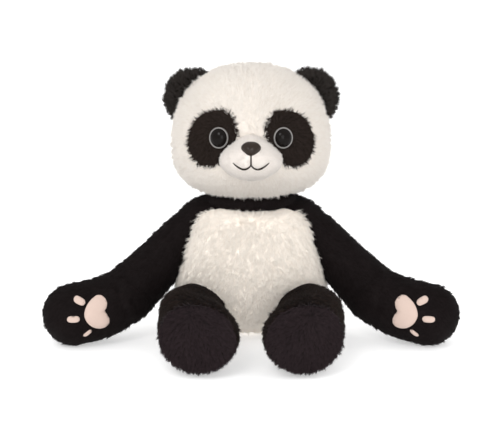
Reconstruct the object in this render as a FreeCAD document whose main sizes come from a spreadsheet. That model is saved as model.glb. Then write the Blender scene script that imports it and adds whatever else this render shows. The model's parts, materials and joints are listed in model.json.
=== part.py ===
"""Seated plush panda with long hugging arms, as separate sewn covers, stuffing and fittings.

Millimetres, +Z up.  The toy looks along -Y, its own left side is +X, and the origin is on the
floor under the middle of its outer box.  Each limb turns about a ball of stuffing, so the
pieces that meet there are cut back by spheres about the same centre.
"""
import FreeCAD
import Part
import math
import os

import Sketcher
from FreeCAD import Placement, Rotation, Vector

DOC = FreeCAD.newDocument("plush_panda")
SHEET = DOC.addObject("Spreadsheet::Sheet", "Sizes")

# alias: (value, what it is)
DRIVING = {
    # cloth, stuffing and the play between pieces
    "cover_wall": (2.0, "plush cloth with its pile pressed flat"),
    "applique_wall": (1.2, "thickness of a sewn-on patch"),
    "layer_gap": (0.15, "play between a cover and what lies on or in it"),
    "joint_gap": (0.8, "play between two pieces that turn past each other"),
    "torso_slack": (1.2, "play between the torso's cover and its stuffing"),
    "shank_play": (0.05, "radial play of a plastic shank in its hole"),
    # torso
    "seat_share": (0.5, "flat seat, its half width over the belly's"),
    "hip_height": (20.0, "height of the rounded hip"),
    "hip_share": (0.842, "half width at the hip over the belly's"),
    "belly_rise": (26.0, "widest part of the belly above the hip"),
    "belly_half_width": (76.0, "half width of the belly"),
    "waist_rise": (22.0, "waist above the widest part of the belly"),
    "waist_share": (0.882, "half width there over the belly's"),
    "rib_rise": (24.0, "ribs above the waist"),
    "rib_half_width": (54.5, "half width there"),
    "chest_rise": (22.0, "upper chest above the ribs"),
    "chest_half_width": (49.0, "half width there"),
    "collar_half_width": (46.0, "half width where the dark collar starts"),
    "collar_rise": (16.0, "dark collar above the upper chest"),
    "collar_tall": (8.0, "height of the dark collar"),
    "neck_half_width": (40.0, "half width of the torso at the neck"),
    "torso_flatness": (0.76, "depth of the torso over its width"),
    "seat_panel_rise": (9.0, "how far the seat panel turns up"),
    "pellet_bag_height": (21.0, "middle of the bag of pellets over the floor"),
    "pellet_bag_half_width": (27.0, "bag of pellets, half its width"),
    "pellet_bag_half_depth": (20.0, "bag of pellets, half its depth"),
    "pellet_bag_half_height": (12.0, "bag of pellets, half its height"),
    "tail_radius": (17.0, "tail, half its width"),
    "tail_height": (34.0, "middle of the tail over the floor"),
    "tail_proud": (4.2, "middle of the tail behind the belly's depth"),
    "label_width": (20.0, "sewn-in care label, out of the seam"),
    "label_length": (26.0, "sewn-in care label, along the seam"),
    "label_wall": (0.8, "sewn-in care label, folded double"),
    "label_height": (30.0, "lower edge of the label over the floor"),
    "label_turn": (52.0, "where round the torso the label leaves it, in degrees from the back"),
    # head
    "neck_rise": (7.0, "centre the head turns and nods about, above the torso"),
    "chin_gap": (3.0, "gap between the torso and the chin"),
    "neck_radius": (23.0, "ball of stuffing that fills the neck"),
    "head_half_width": (79.0, "half width of the head"),
    "head_half_depth": (66.0, "half depth of the head"),
    "crown_rise": (78.0, "top of the head over its widest part"),
    "chin_drop": (55.0, "underside of the head below its widest part"),
    "ear_seam_depth": (6.0, "seam between face and back of head, behind the middle"),
    "eye_side": (30.0, "eye centre from the middle"),
    "eye_lift": (12.0, "eye centre above the widest part of the head"),
    "eye_radius": (9.0, "radius of the glossy dome"),
    "eye_rise": (5.6, "height of the dome"),
    "ring_radius": (10.8, "radius of the pale ring behind the dome"),
    "ring_wall": (1.4, "thickness of that ring"),
    "shank_radius": (2.2, "radius of the plastic shank"),
    "shank_length": (13.0, "length of the shank behind the dome"),
    "washer_radius": (7.5, "radius of the locking washer"),
    "washer_wall": (1.6, "thickness of the locking washer"),
    "washer_depth": (2.9, "inner face of the cover behind its outer face at a washer"),
    "patch_side": (37.5, "eye patch centre from the middle"),
    "patch_lift": (10.5, "eye patch centre above the widest part of the head"),
    "patch_half_length": (28.0, "eye patch, half its length"),
    "patch_half_width": (21.5, "eye patch, half its width"),
    "patch_lean": (24.0, "lean of the eye patch from upright, in degrees"),
    "nose_washer_depth": (5.4, "front of the nose's washer behind the nose centre"),
    "muzzle_drop": (5.5, "muzzle centre below the widest part of the head"),
    "muzzle_sink": (4.0, "muzzle centre behind the front of the face"),
    "muzzle_half_width": (29.0, "half width of the muzzle"),
    "muzzle_half_depth": (26.0, "half depth of the muzzle"),
    "muzzle_half_height": (21.5, "half height of the muzzle"),
    "nose_lift": (13.0, "nose centre above the muzzle's"),
    "nose_half_width": (9.8, "half width of the nose"),
    "nose_half_height": (7.0, "half height of the nose"),
    "nose_rise": (6.5, "half depth of the nose"),
    "mouth_drop": (3.5, "point where the two halves of the mouth meet, below the muzzle's centre"),
    "smile_radius": (9.8, "radius of each half of the mouth"),
    "smile_side": (8.2, "centre of that arc from the middle"),
    "smile_rise": (5.4, "centre of that arc over the meeting point"),
    "thread_width": (1.3, "width of the mouth's stitches"),
    "ear_turn": (36.8, "way out to the ear, in degrees above level"),
    "ear_sink": (6.8, "ear centre inside the head's surface"),
    "ear_depth": (8.0, "ear centre behind the head's axis"),
    "ear_radius": (28.0, "radius of the ear"),
    "ear_half_wall": (8.5, "half thickness of the ear"),
    "ear_gap": (2.8, "gap under the ear that lets it flop"),
    "ear_thread_radius": (0.75, "radius of the thread that holds the ear"),
    "ear_thread_rise": (4.6, "thread over the head's surface"),
    # arms: shoulder, elbow and paw are the centres of their rounded ends
    "shoulder_out": (14.5, "shoulder outside the ribs"),
    "shoulder_front": (8.0, "shoulder before the torso's axis"),
    "shoulder_lift": (9.0, "shoulder above the ribs"),
    "shoulder_radius": (22.5, "radius of the sleeve at the shoulder"),
    "shoulder_ball": (13.5, "ball of stuffing inside the shoulder"),
    "armhole_gap": (3.0, "room between the sleeve's end and the armhole"),
    "elbow_out": (49.0, "elbow outside the belly"),
    "elbow_front": (29.0, "elbow before the torso's axis"),
    "elbow_height": (57.0, "elbow over the floor"),
    "elbow_radius": (27.0, "radius of the sleeve at the elbow"),
    "elbow_fold": (9.0, "where the paw's cover starts past the elbow"),
    "fold_lip": (2.2, "wall of the paw's cover at the fold"),
    "paw_out": (48.5, "paw centre outside the elbow"),
    "paw_front": (16.0, "paw centre before the elbow"),
    "paw_radius": (31.0, "radius of the paw, which lies on the floor"),
    "palm_in": (26.5, "palm pad from the paw centre towards the elbow"),
    "palm_lift": (12.0, "palm pad above the paw centre"),
    "palm_half_height": (16.0, "half the height of the palm pad"),
    "palm_lobe": (8.0, "radius of each of its two lobes"),
    "palm_tip": (11.0, "how far its round tip reaches towards the toes"),
    "toe_length": (11.5, "length of a toe pad"),
    "toe_half_width": (3.0, "half its width"),
    "toe_reach": (21.0, "toe pads from the middle of the palm pad"),
    "toe_spread": (50.0, "angle from one toe pad to the next, in degrees"),
    "toe_turn": (-11.0, "turn of the middle toe pad from the palm pad, in degrees"),
    "pad_turn": (-8.0, "turn of the palm pad from level, in degrees"),
    # legs
    "hip_side": (40.0, "hip from the middle"),
    "hip_sink": (9.8, "hip behind the front of the belly"),
    "hip_radius": (31.0, "radius of the leg at the hip"),
    "leg_fold": (15.0, "length from the hip to the fold round the leg"),
    "thigh_reach": (25.0, "full thigh past the fold"),
    "thigh_radius": (36.5, "radius of the thigh"),
    "leg_radius": (38.0, "radius of the leg at the foot, which lies on the floor"),
    "foot_reach": (20.0, "widest part of the foot past the full thigh"),
    "sole_reach": (43.0, "sole past the widest part of the foot"),
    "leg_splay": (8.5, "outward turn of the leg, in degrees"),
    "sole_radius": (30.0, "radius of the sole"),
    "sole_wall": (2.6, "thickness of the sole"),
}


class Size:
    """A number with the spreadsheet expression that gives it."""

    def __init__(self, value, text):
        self.value = value
        self.text = text

    @staticmethod
    def of(other):
        return other if isinstance(other, Size) else Size(float(other), repr(float(other)))

    def __add__(self, other):
        other = Size.of(other)
        return Size(self.value + other.value, f"({self.text} + {other.text})")

    def __radd__(self, other):
        return Size.of(other) + self

    def __sub__(self, other):
        other = Size.of(other)
        return Size(self.value - other.value, f"({self.text} - {other.text})")

    def __rsub__(self, other):
        return Size.of(other) - self

    def __mul__(self, other):
        other = Size.of(other)
        return Size(self.value * other.value, f"({self.text} * {other.text})")

    def __rmul__(self, other):
        return Size.of(other) * self

    def __truediv__(self, other):
        other = Size.of(other)
        return Size(self.value / other.value, f"({self.text} / {other.text})")

    def __rtruediv__(self, other):
        return Size.of(other) / self

    def __neg__(self):
        return 0 - self

    def root(self):
        return Size(math.sqrt(self.value), f"sqrt({self.text})")


def fill_sheet():
    """Writes the driving sizes into the sheet and returns each one as a Size."""
    sizes = {}
    for row, (alias, (value, note)) in enumerate(DRIVING.items(), start=1):
        SHEET.set(f"A{row}", str(value))
        SHEET.setAlias(f"A{row}", alias)
        SHEET.set(f"B{row}", note)
    DOC.recompute()
    for alias in DRIVING:
        sizes[alias] = Size(float(SHEET.get(alias)), f"Sizes.{alias}")
    return sizes


S = fill_sheet()
SUB_PARTS = []
SIDES = {"left": 1, "right": -1}

BELLY_HEIGHT = S["hip_height"] + S["belly_rise"]
RIB_HEIGHT = BELLY_HEIGHT + S["waist_rise"] + S["rib_rise"]
CHEST_HEIGHT = RIB_HEIGHT + S["chest_rise"]
COLLAR_HEIGHT = CHEST_HEIGHT + S["collar_rise"]
TORSO_TOP = COLLAR_HEIGHT + S["collar_tall"]
TORSO_SECTIONS = (
    (Size.of(0), S["belly_half_width"] * S["seat_share"]),
    (S["hip_height"], S["belly_half_width"] * S["hip_share"]),
    (BELLY_HEIGHT, S["belly_half_width"]),
    (BELLY_HEIGHT + S["waist_rise"], S["belly_half_width"] * S["waist_share"]),
    (RIB_HEIGHT, S["rib_half_width"]),
    (CHEST_HEIGHT, S["chest_half_width"]),
    (COLLAR_HEIGHT, S["collar_half_width"]),
    (TORSO_TOP, S["neck_half_width"]),
)

SPLAY = math.radians(S["leg_splay"].value)
BELLY_DEPTH = S["belly_half_width"] * S["torso_flatness"]
HIP_FRONT = BELLY_DEPTH - S["hip_sink"]
THIGH_LENGTH = S["leg_fold"] + S["thigh_reach"]
FOOT_LENGTH = THIGH_LENGTH + S["foot_reach"]
LEG_LENGTH = FOOT_LENGTH + S["sole_reach"]
SOLE_FRONT = HIP_FRONT + LEG_LENGTH * math.cos(SPLAY) + S["sole_radius"] * math.sin(SPLAY)
TAIL_REACH = BELLY_DEPTH + S["tail_proud"]
# Moves the torso's axis so that the outer box is centred on the origin.
AXIS = (SOLE_FRONT - TAIL_REACH - S["tail_radius"]) / 2

HEAD_HEIGHT = TORSO_TOP + S["chin_gap"] + S["chin_drop"]
MUZZLE_REACH = S["head_half_depth"] - S["muzzle_sink"]
MUZZLE_HEIGHT = HEAD_HEIGHT - S["muzzle_drop"]
NECK = (Size.of(0), AXIS, TORSO_TOP + S["neck_rise"])
HEAD = (Size.of(0), AXIS, HEAD_HEIGHT)


# ---- helpers -----------------------------------------------------------------------------


def bind(obj, **sizes):
    """Binds each named property of obj to a Size's expression."""
    for name, size in sizes.items():
        obj.setExpression(name, Size.of(size).text)
    return obj


def place(obj, point, rotation=None):
    """Puts obj at a point given as three Sizes, turned by rotation."""
    point = [Size.of(p) for p in point]
    obj.Placement = Placement(Vector(*[p.value for p in point]), rotation or Rotation())
    for axis, size in zip("xyz", point):
        obj.setExpression(f".Placement.Base.{axis}", size.text)
    return obj


def values(point):
    return Vector(*[Size.of(p).value for p in point])


def between(start, end):
    """Rotation that carries +X onto the way from start to end."""
    return Rotation(Vector(1, 0, 0), values(end) - values(start))


def new(kind, name):
    return DOC.addObject(kind, name)


def ball(name, centre, radius):
    return place(bind(new("Part::Sphere", name), Radius=radius), centre)


def ellipsoid(name, centre, across, deep, high, rotation=None, low=None, top=None):
    """An ellipsoid, or only its part between two latitudes."""
    obj = bind(new("Part::Ellipsoid", name), Radius2=across, Radius3=deep, Radius1=high)
    if low is not None:
        obj.Angle1 = low
    if top is not None:
        obj.Angle2 = top
    return place(obj, centre, rotation)


def block(name, low, high):
    """A box between two corners."""
    size = [Size.of(h) - Size.of(l) for l, h in zip(low, high)]
    obj = bind(new("Part::Box", name), Length=size[0], Width=size[1], Height=size[2])
    return place(obj, low)


def rod(name, start, rotation, radius, length):
    """A cylinder whose own +Z is turned by rotation."""
    obj = bind(new("Part::Cylinder", name), Radius=radius, Height=length)
    return place(obj, start, rotation)


def cut(name, base, *tools):
    """base less each tool in turn."""
    for n, tool in enumerate(tools):
        last = n == len(tools) - 1
        obj = new("Part::Cut", name if last else f"{name}_less_{n}")
        obj.Base = base
        obj.Tool = tool
        base = obj
    return base


def common(name, base, tool):
    obj = new("Part::Common", name)
    obj.Base = base
    obj.Tool = tool
    return obj


def fuse(name, *shapes):
    obj = new("Part::MultiFuse", name)
    obj.Shapes = list(shapes)
    return obj


def sub_part(obj, label):
    """Marks obj as a piece of the toy that gets its own file."""
    obj.Label = label
    SUB_PARTS.append(obj)
    return obj


def origin_plane(body, role):
    return next(f for f in body.Origin.OriginFeatures if f.Role == role)


def sketch_profile(body, name, plane, corners):
    """Draws a closed profile in body.

    corners holds (x, y, bend): the corner's place as Sizes, and None where a straight line goes on
    to the next corner, or the x, y of the centre of the arc that does, with its sense (+1 turns left).
    """
    sketch = body.newObject("Sketcher::SketchObject", name)
    sketch.AttachmentSupport = [(origin_plane(body, plane), "")]
    sketch.MapMode = "FlatFace"
    corners = [(Size.of(x), Size.of(y), bend) for x, y, bend in corners]
    starts = []
    for n, (x, y, bend) in enumerate(corners):
        end = corners[(n + 1) % len(corners)]
        a, b = Vector(x.value, y.value, 0), Vector(end[0].value, end[1].value, 0)
        if bend is None:
            sketch.addGeometry(Part.LineSegment(a, b), False)
            starts.append((1, 2))
            continue
        centre = Vector(Size.of(bend[0]).value, Size.of(bend[1]).value, 0)
        turn = [math.atan2((p - centre).y, (p - centre).x) for p in (a, b)]
        circle = Part.Circle(centre, Vector(0, 0, 1), (a - centre).Length)
        if bend[2] > 0:
            sketch.addGeometry(Part.ArcOfCircle(circle, turn[0], turn[1]), False)
            starts.append((1, 2))
        else:
            sketch.addGeometry(Part.ArcOfCircle(circle, turn[1], turn[0]), False)
            starts.append((2, 1))
    for n, (x, y, bend) in enumerate(corners):
        before = (n - 1) % len(corners)
        sketch.addConstraint(Sketcher.Constraint("Coincident", before, starts[before][1], n, starts[n][0]))
        hold_point(sketch, n, starts[n][0], x, y)
        if bend is not None:
            hold_coordinate(sketch, "DistanceX", n, 3, Size.of(bend[0]))
    return sketch


def hold_coordinate(sketch, kind, item, point, size):
    """Fixes one coordinate of a sketch point, on the axis where it is zero."""
    if size.value == 0:
        axis = -2 if kind == "DistanceX" else -1
        sketch.addConstraint(Sketcher.Constraint("PointOnObject", item, point, axis))
        return
    number = sketch.addConstraint(Sketcher.Constraint(kind, -1, 1, item, point, size.value))
    sketch.setExpression(f"Constraints[{number}]", size.text)


def hold_point(sketch, item, point, x, y):
    hold_coordinate(sketch, "DistanceX", item, point, x)
    hold_coordinate(sketch, "DistanceY", item, point, y)


def turned(name, corners, centre, rotation):
    """A body turned about its own X axis from a half profile, then placed."""
    body = new("PartDesign::Body", name)
    sketch = sketch_profile(body, f"{name}_profile", "XZ_Plane", corners)
    revolution = body.newObject("PartDesign::Revolution", f"{name}_turned")
    revolution.Profile = sketch
    revolution.ReferenceAxis = (sketch, ["H_Axis"])
    revolution.Angle = 360
    sketch.Visibility = False
    return place(body, centre, rotation)


def padded_outline(name, corners, length, centre, rotation):
    """A body padded from an outline in its own XY plane."""
    body = new("PartDesign::Body", name)
    sketch = sketch_profile(body, f"{name}_outline", "XY_Plane", corners)
    pad = body.newObject("PartDesign::Pad", f"{name}_pad")
    pad.Profile = sketch
    pad.setExpression("Length", Size.of(length).text)
    return place(body, centre, rotation)


# ---- torso -------------------------------------------------------------------------------


def torso_solid(name, inset):
    """The torso as a loft through ellipses, drawn in by inset on every side."""
    rings = []
    last = len(TORSO_SECTIONS) - 1
    for n, (height, half_width) in enumerate(TORSO_SECTIONS):
        ring = new("Part::Ellipse", f"{name}_ring_{n}")
        across = half_width - inset
        bind(ring, MajorRadius=across, MinorRadius=half_width * S["torso_flatness"] - inset)
        lift = height + inset if n == 0 else height - inset if n == last else height
        rings.append(place(ring, (0, AXIS, lift)))
    loft = new("Part::Loft", name)
    loft.Sections = rings
    loft.Solid = True
    return loft


def shoulder(side):
    side_reach = S["rib_half_width"] + S["shoulder_out"]
    return (side * side_reach, AXIS - S["shoulder_front"], RIB_HEIGHT + S["shoulder_lift"])


def hip(side):
    return (side * S["hip_side"], AXIS - HIP_FRONT, S["leg_radius"])


def sockets(name, extra):
    """Spheres that clear the neck, both shoulders and both hips by extra."""
    found = [ball(f"{name}_neck", NECK, S["neck_radius"] + S["joint_gap"] + extra)]
    for side_name, side in SIDES.items():
        arm = S["shoulder_radius"] + S["armhole_gap"] + extra
        leg = S["hip_radius"] + S["joint_gap"] + extra
        found.append(ball(f"{name}_{side_name}_arm", shoulder(side), arm))
        found.append(ball(f"{name}_{side_name}_leg", hip(side), leg))
    return found


def torso():
    """Four sewn panels, the stuffing, the bag of pellets, the tail and the care label."""
    wall = S["cover_wall"]
    reach = S["belly_half_width"] * 2
    outer = torso_solid("torso_outside", Size.of(0))
    shell = cut("torso_shell", outer, torso_solid("torso_inside", wall), *sockets("cover", Size.of(0)))
    collar, seat = COLLAR_HEIGHT, S["seat_panel_rise"]
    top = TORSO_TOP + wall
    zones = {
        "belly_panel": ((-reach, AXIS - reach, seat), (reach, AXIS, collar)),
        "back_panel": ((-reach, AXIS, seat), (reach, AXIS + reach, collar)),
        "collar_yoke": ((-reach, AXIS - reach, collar), (reach, AXIS + reach, top)),
        "seat_panel": ((-reach, AXIS - reach, -wall), (reach, AXIS + reach, seat)),
    }
    for label, (low, high) in zones.items():
        sub_part(common(label, shell, block(f"{label}_zone", low, high)), label)

    bag_at = (Size.of(0), AXIS, S["pellet_bag_height"])
    half = (S["pellet_bag_half_width"], S["pellet_bag_half_depth"], S["pellet_bag_half_height"])
    sub_part(ellipsoid("seat_pellet_bag", bag_at, *half), "seat_pellet_bag")
    hollow = ellipsoid("pellet_bag_hollow", bag_at, *[h + S["layer_gap"] for h in half])
    stuffing = torso_solid("torso_stuffing", wall + S["torso_slack"])
    sub_part(cut("torso_filling", stuffing, hollow, *sockets("filling", S["layer_gap"])), "torso_filling")

    body = torso_solid("torso_for_tail", -S["layer_gap"])
    puff_at = (Size.of(0), AXIS + TAIL_REACH, S["tail_height"])
    puff = ellipsoid("tail_puff", puff_at, S["tail_radius"], S["tail_radius"], S["tail_radius"])
    sub_part(cut("tail", puff, body), "tail")
    sub_part(cut("care_label", label_flap(), torso_solid("torso_for_label", -S["layer_gap"])), "care_label")


def label_flap():
    """The care label before the torso is cut out of it, on the back of the right side seam."""
    turn = math.radians(S["label_turn"].value)
    inset = S["label_width"] / 2
    start = (
        -(S["belly_half_width"] - inset) * math.sin(turn),
        AXIS + (BELLY_DEPTH - inset) * math.cos(turn),
        S["label_height"],
    )
    flap = new("Part::Box", "label_flap")
    bind(flap, Length=S["label_width"] + inset, Width=S["label_wall"], Height=S["label_length"])
    return place(flap, start, Rotation(Vector(0, 0, 1), 90 + S["label_turn"].value))


# ---- head --------------------------------------------------------------------------------


def head_solid(name, grow):
    """Crown and chin as two half ellipsoids on one waist, grown by grow on every side."""
    across, deep = S["head_half_width"] + grow, S["head_half_depth"] + grow
    crown = ellipsoid(f"{name}_crown", HEAD, across, deep, S["crown_rise"] + grow, low=0)
    chin = ellipsoid(f"{name}_chin", HEAD, across, deep, S["chin_drop"] + grow, top=0)
    return fuse(name, crown, chin)


def face_depth(x, z, rise):
    """How far the face is before the head's axis at a place x across and z up."""
    across = x / S["head_half_width"]
    up = (z - HEAD_HEIGHT) / rise
    return S["head_half_depth"] * (1 - across * across - up * up).root()


def face_point(x, z, out):
    """A point out from the face's surface at x, z, and the rotation of +X onto the normal there."""
    rise = S["crown_rise"] if z.value >= HEAD_HEIGHT.value else S["chin_drop"]
    depth = face_depth(x, z, rise)
    normal = Vector(
        x.value / S["head_half_width"].value ** 2,
        -depth.value / S["head_half_depth"].value ** 2,
        (z.value - HEAD_HEIGHT.value) / rise.value**2,
    ).normalize()
    point = (x + out * normal.x, AXIS - depth + out * normal.y, z + out * normal.z)
    return point, Rotation(Vector(1, 0, 0), normal)


def head():
    """Face and back covers, stuffing, and what is sewn or pinned to the face."""
    wall, gap = S["cover_wall"], S["layer_gap"]
    reach = S["head_half_width"] * 2
    seam = AXIS + S["ear_seam_depth"]
    top = HEAD_HEIGHT + S["crown_rise"] + wall
    opening = ball("neck_opening", NECK, S["neck_radius"] + S["joint_gap"])
    outside, inside = head_solid("head_outside", Size.of(0)), head_solid("head_inside", -wall)
    shell = cut("head_shell", outside, inside, opening)
    face = common("face_half", shell, block("face_zone", (-reach, AXIS - reach, 0), (reach, seam, top)))
    back = common("head_back", shell, block("back_zone", (-reach, seam, 0), (reach, AXIS + reach, top)))
    sub_part(back, "head_back_cover")

    pins = fuse("pin_holes", *[eye_parts(name, side) for name, side in SIDES.items()], nose_parts())
    sub_part(cut("head_front_cover", face, pins), "head_front_cover")
    stuffing = head_solid("head_stuffing", -(wall + gap))
    recess = ball("neck_recess", NECK, S["neck_radius"] + S["joint_gap"] + gap)
    washers = [DOC.getObject(f"{name}_hollow") for name in ("left_eye", "right_eye", "nose")]
    hollows = fuse("washer_hollows", *washers)
    sub_part(cut("head_filling", stuffing, recess, hollows), "head_filling")

    patch_top = head_solid("patch_outside", S["applique_wall"] + gap)
    grown = cut("patch_layer", patch_top, head_solid("patch_inside", gap))
    for name, side in SIDES.items():
        eye_patch(name, side, grown)
    muzzle()
    for name, side in SIDES.items():
        ear(name, side)
    sub_part(ball("neck_filling", NECK, S["neck_radius"]), "neck_filling")


def pinned(name, centre, rotation, back):
    """The hole of a shank, its washer behind the cover and the hollow for both in the stuffing.

    back is how far the cover's inner face lies behind centre.  Returns the hole.
    """
    play, reach = S["shank_play"], S["shank_length"] + S["layer_gap"]
    radius = S["shank_radius"] + play
    hole = turned(f"{name}_hole", pin_profile(-reach, S["eye_rise"], radius), centre, rotation)
    ahead = -back
    behind = ahead - S["washer_wall"]
    ring = [
        (behind, radius, None),
        (ahead, radius, None),
        (ahead, S["washer_radius"], None),
        (behind, S["washer_radius"], None),
    ]
    sub_part(turned(f"{name}_washer", ring, centre, rotation), f"{name}_washer")
    room = S["washer_radius"] + S["layer_gap"]
    plug = turned(f"{name}_room", pin_profile(behind - S["layer_gap"], Size.of(0), room), centre, rotation)
    stem = turned(f"{name}_stem_room", pin_profile(-reach, Size.of(0), radius), centre, rotation)
    fuse(f"{name}_hollow", plug, stem)
    return hole


def pin_profile(start, end, radius):
    """Half profile of a plain cylinder from start to end."""
    return [(start, 0, None), (end, 0, None), (end, radius, None), (start, radius, None)]


def eye_parts(name, side):
    """A glossy dome on its shank, the pale ring behind it and the washer that locks it."""
    seat = S["applique_wall"] + 2 * S["layer_gap"] + S["ring_wall"] + S["layer_gap"]
    centre, rotation = face_point(side * S["eye_side"], HEAD_HEIGHT + S["eye_lift"], seat)
    rise, radius = S["eye_rise"], S["eye_radius"]
    middle = (rise * rise - radius * radius) / (2 * rise)
    dome = [
        (-S["shank_length"], 0, None),
        (rise, 0, (middle, 0, 1)),
        (0, radius, None),
        (0, S["shank_radius"], None),
        (-S["shank_length"], S["shank_radius"], None),
    ]
    sub_part(turned(f"{name}_eye", dome, centre, rotation), f"{name}_eye")
    front = -S["layer_gap"]
    rear = front - S["ring_wall"]
    bore = S["shank_radius"] + S["shank_play"]
    ring = [
        (rear, bore, None),
        (front, bore, None),
        (front, S["ring_radius"], None),
        (rear, S["ring_radius"], None),
    ]
    sub_part(turned(f"{name}_eye_ring", ring, centre, rotation), f"{name}_eye_ring")
    room = S["ring_radius"] + 2 * S["layer_gap"]
    turned(f"{name}_eye_room", pin_profile(rear - S["layer_gap"], rise, room), centre, rotation)
    return pinned(f"{name}_eye", centre, rotation, seat + S["washer_depth"])


def eye_patch(name, side, layer):
    """An oval of dark plush on the face, with a hole for the shank."""
    lean = Rotation(Vector(0, 1, 0), side * S["patch_lean"].value)
    centre = (side * S["patch_side"], AXIS - S["head_half_depth"], HEAD_HEIGHT + S["patch_lift"])
    half = (S["patch_half_width"], S["head_half_depth"], S["patch_half_length"])
    oval = ellipsoid(f"{name}_patch_oval", centre, *half, lean)
    layer_piece = common(f"{name}_patch_piece", layer, oval)
    muzzle_room = muzzle_solid(f"{name}_patch_trim", S["layer_gap"] * 2)
    trimmed = cut(f"{name}_patch_trimmed", layer_piece, muzzle_room)
    sub_part(cut(f"{name}_eye_patch", trimmed, DOC.getObject(f"{name}_eye_hole")), f"{name}_eye_patch")


def muzzle_solid(name, grow):
    centre = (Size.of(0), AXIS - MUZZLE_REACH, MUZZLE_HEIGHT)
    half = (S["muzzle_half_width"], S["muzzle_half_depth"], S["muzzle_half_height"])
    return ellipsoid(name, centre, *[h + grow for h in half])


def nose_place():
    """The nose's centre on the muzzle's surface, and the rotation of +X onto the normal there."""
    deep, high = S["muzzle_half_depth"], S["muzzle_half_height"]
    up = S["nose_lift"] / high
    depth = deep * (1 - up * up).root()
    normal = Vector(0, -depth.value / deep.value**2, S["nose_lift"].value / high.value**2)
    centre = (Size.of(0), AXIS - MUZZLE_REACH - depth, MUZZLE_HEIGHT + S["nose_lift"])
    return centre, Rotation(Vector(1, 0, 0), normal)


def nose_parts():
    """The nose on its shank, with its washer inside the muzzle."""
    centre, rotation = nose_place()
    half = (S["nose_half_width"], S["nose_rise"], S["nose_half_height"])
    pad = ellipsoid("nose_pad", centre, *half)
    front = cut("nose_front", pad, muzzle_solid("nose_seat", S["layer_gap"]))
    profile = pin_profile(-S["shank_length"], Size.of(0), S["shank_radius"])
    stem = turned("nose_stem", profile, centre, rotation)
    sub_part(fuse("nose", front, stem), "nose")
    return pinned("nose", centre, rotation, S["nose_washer_depth"])


def muzzle():
    """Cover, stuffing and the stitched mouth."""
    wall, gap = S["cover_wall"], S["layer_gap"]
    face = head_solid("face_for_muzzle", gap)
    hole = DOC.getObject("nose_hole")
    outside, inside = muzzle_solid("muzzle_outside", Size.of(0)), muzzle_solid("muzzle_inside", -wall)
    skin = cut("muzzle_skin", outside, inside)
    rooms = [DOC.getObject(f"{name}_eye_room") for name in SIDES]
    sub_part(cut("muzzle_cover", skin, face, hole, *rooms), "muzzle_cover")
    stuffing = muzzle_solid("muzzle_stuffing", -(wall + gap))
    sub_part(cut("muzzle_filling", stuffing, face, DOC.getObject("nose_hollow")), "muzzle_filling")

    thread = S["thread_width"] / 2
    layer = cut("stitch_layer", muzzle_solid("stitch_outside", thread), muzzle_solid("stitch_inside", gap))
    front = AXIS - S["head_half_depth"] * 2
    meeting = MUZZLE_HEIGHT - S["mouth_drop"]
    under_nose = MUZZLE_HEIGHT + S["nose_lift"] - S["nose_half_height"] - gap
    strokes = [block("philtrum", (-thread, front, meeting), (thread, AXIS - MUZZLE_REACH, under_nose))]
    for name, side in SIDES.items():
        strokes.append(smile(name, side, thread))
    sub_part(common("mouth_stitching", layer, fuse("mouth_strokes", *strokes)), "mouth_stitching")


def smile(name, side, thread):
    """One half of the mouth: the lower part of a ring that looks along -Y."""
    back = AXIS - MUZZLE_REACH
    centre = (side * S["smile_side"], back, MUZZLE_HEIGHT - S["mouth_drop"] + S["smile_rise"])
    away = Rotation(Vector(1, 0, 0), 90)
    length = S["muzzle_half_depth"] * 2
    outside = rod(f"{name}_smile_outside", centre, away, S["smile_radius"] + thread, length)
    inside = rod(f"{name}_smile_inside", centre, away, S["smile_radius"] - thread, length)
    reach = S["smile_radius"] * 2
    low = (centre[0] - reach, back - length, centre[2] - reach)
    high = (centre[0] + reach, back, centre[2] - S["smile_rise"] * 0.7)
    ring = cut(f"{name}_smile_ring", outside, inside)
    return common(f"{name}_smile", ring, block(f"{name}_smile_zone", low, high))


def ear(name, side):
    """A flat stuffed ear that flops about the thread along its foot."""
    gap = S["layer_gap"]
    out, surface = ear_way(side)
    away = surface - S["ear_sink"]
    centre = (away * out.x, AXIS + S["ear_depth"], HEAD_HEIGHT + away * out.z)
    thin, wall = S["ear_half_wall"], S["cover_wall"]
    clear = head_solid(f"{name}_ear_foot", S["ear_gap"])
    line, hollow = ear_thread(name, side)
    outside = ellipsoid(f"{name}_ear_outside", centre, S["ear_radius"], thin, S["ear_radius"])
    inner = (S["ear_radius"] - wall, thin - wall, S["ear_radius"] - wall)
    shrunk = [size - gap for size in inner]
    foot = head_solid(f"{name}_ear_inner_foot", S["ear_gap"] + wall + S["ear_thread_rise"])
    pocket = cut(f"{name}_ear_pocket", ellipsoid(f"{name}_ear_inside", centre, *inner), foot)
    sub_part(cut(f"{name}_ear_cover", outside, pocket, clear, hollow), f"{name}_ear_cover")
    pad_foot = head_solid(f"{name}_ear_pad_foot", S["ear_gap"] + wall + S["ear_thread_rise"] + gap)
    pad = cut(f"{name}_ear_pad", ellipsoid(f"{name}_ear_stuffing", centre, *shrunk), pad_foot)
    sub_part(pad, f"{name}_ear_pad")
    sub_part(line, f"{name}_ear_thread")


def ear_way(side):
    """The way from the head's centre out to the ear, and how far the head's surface is along it."""
    turn = math.radians(S["ear_turn"].value)
    out = Vector(side * math.cos(turn), 0, math.sin(turn))
    across, up = out.x / S["head_half_width"], out.z / S["crown_rise"]
    return out, 1 / (across * across + up * up).root()


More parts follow.
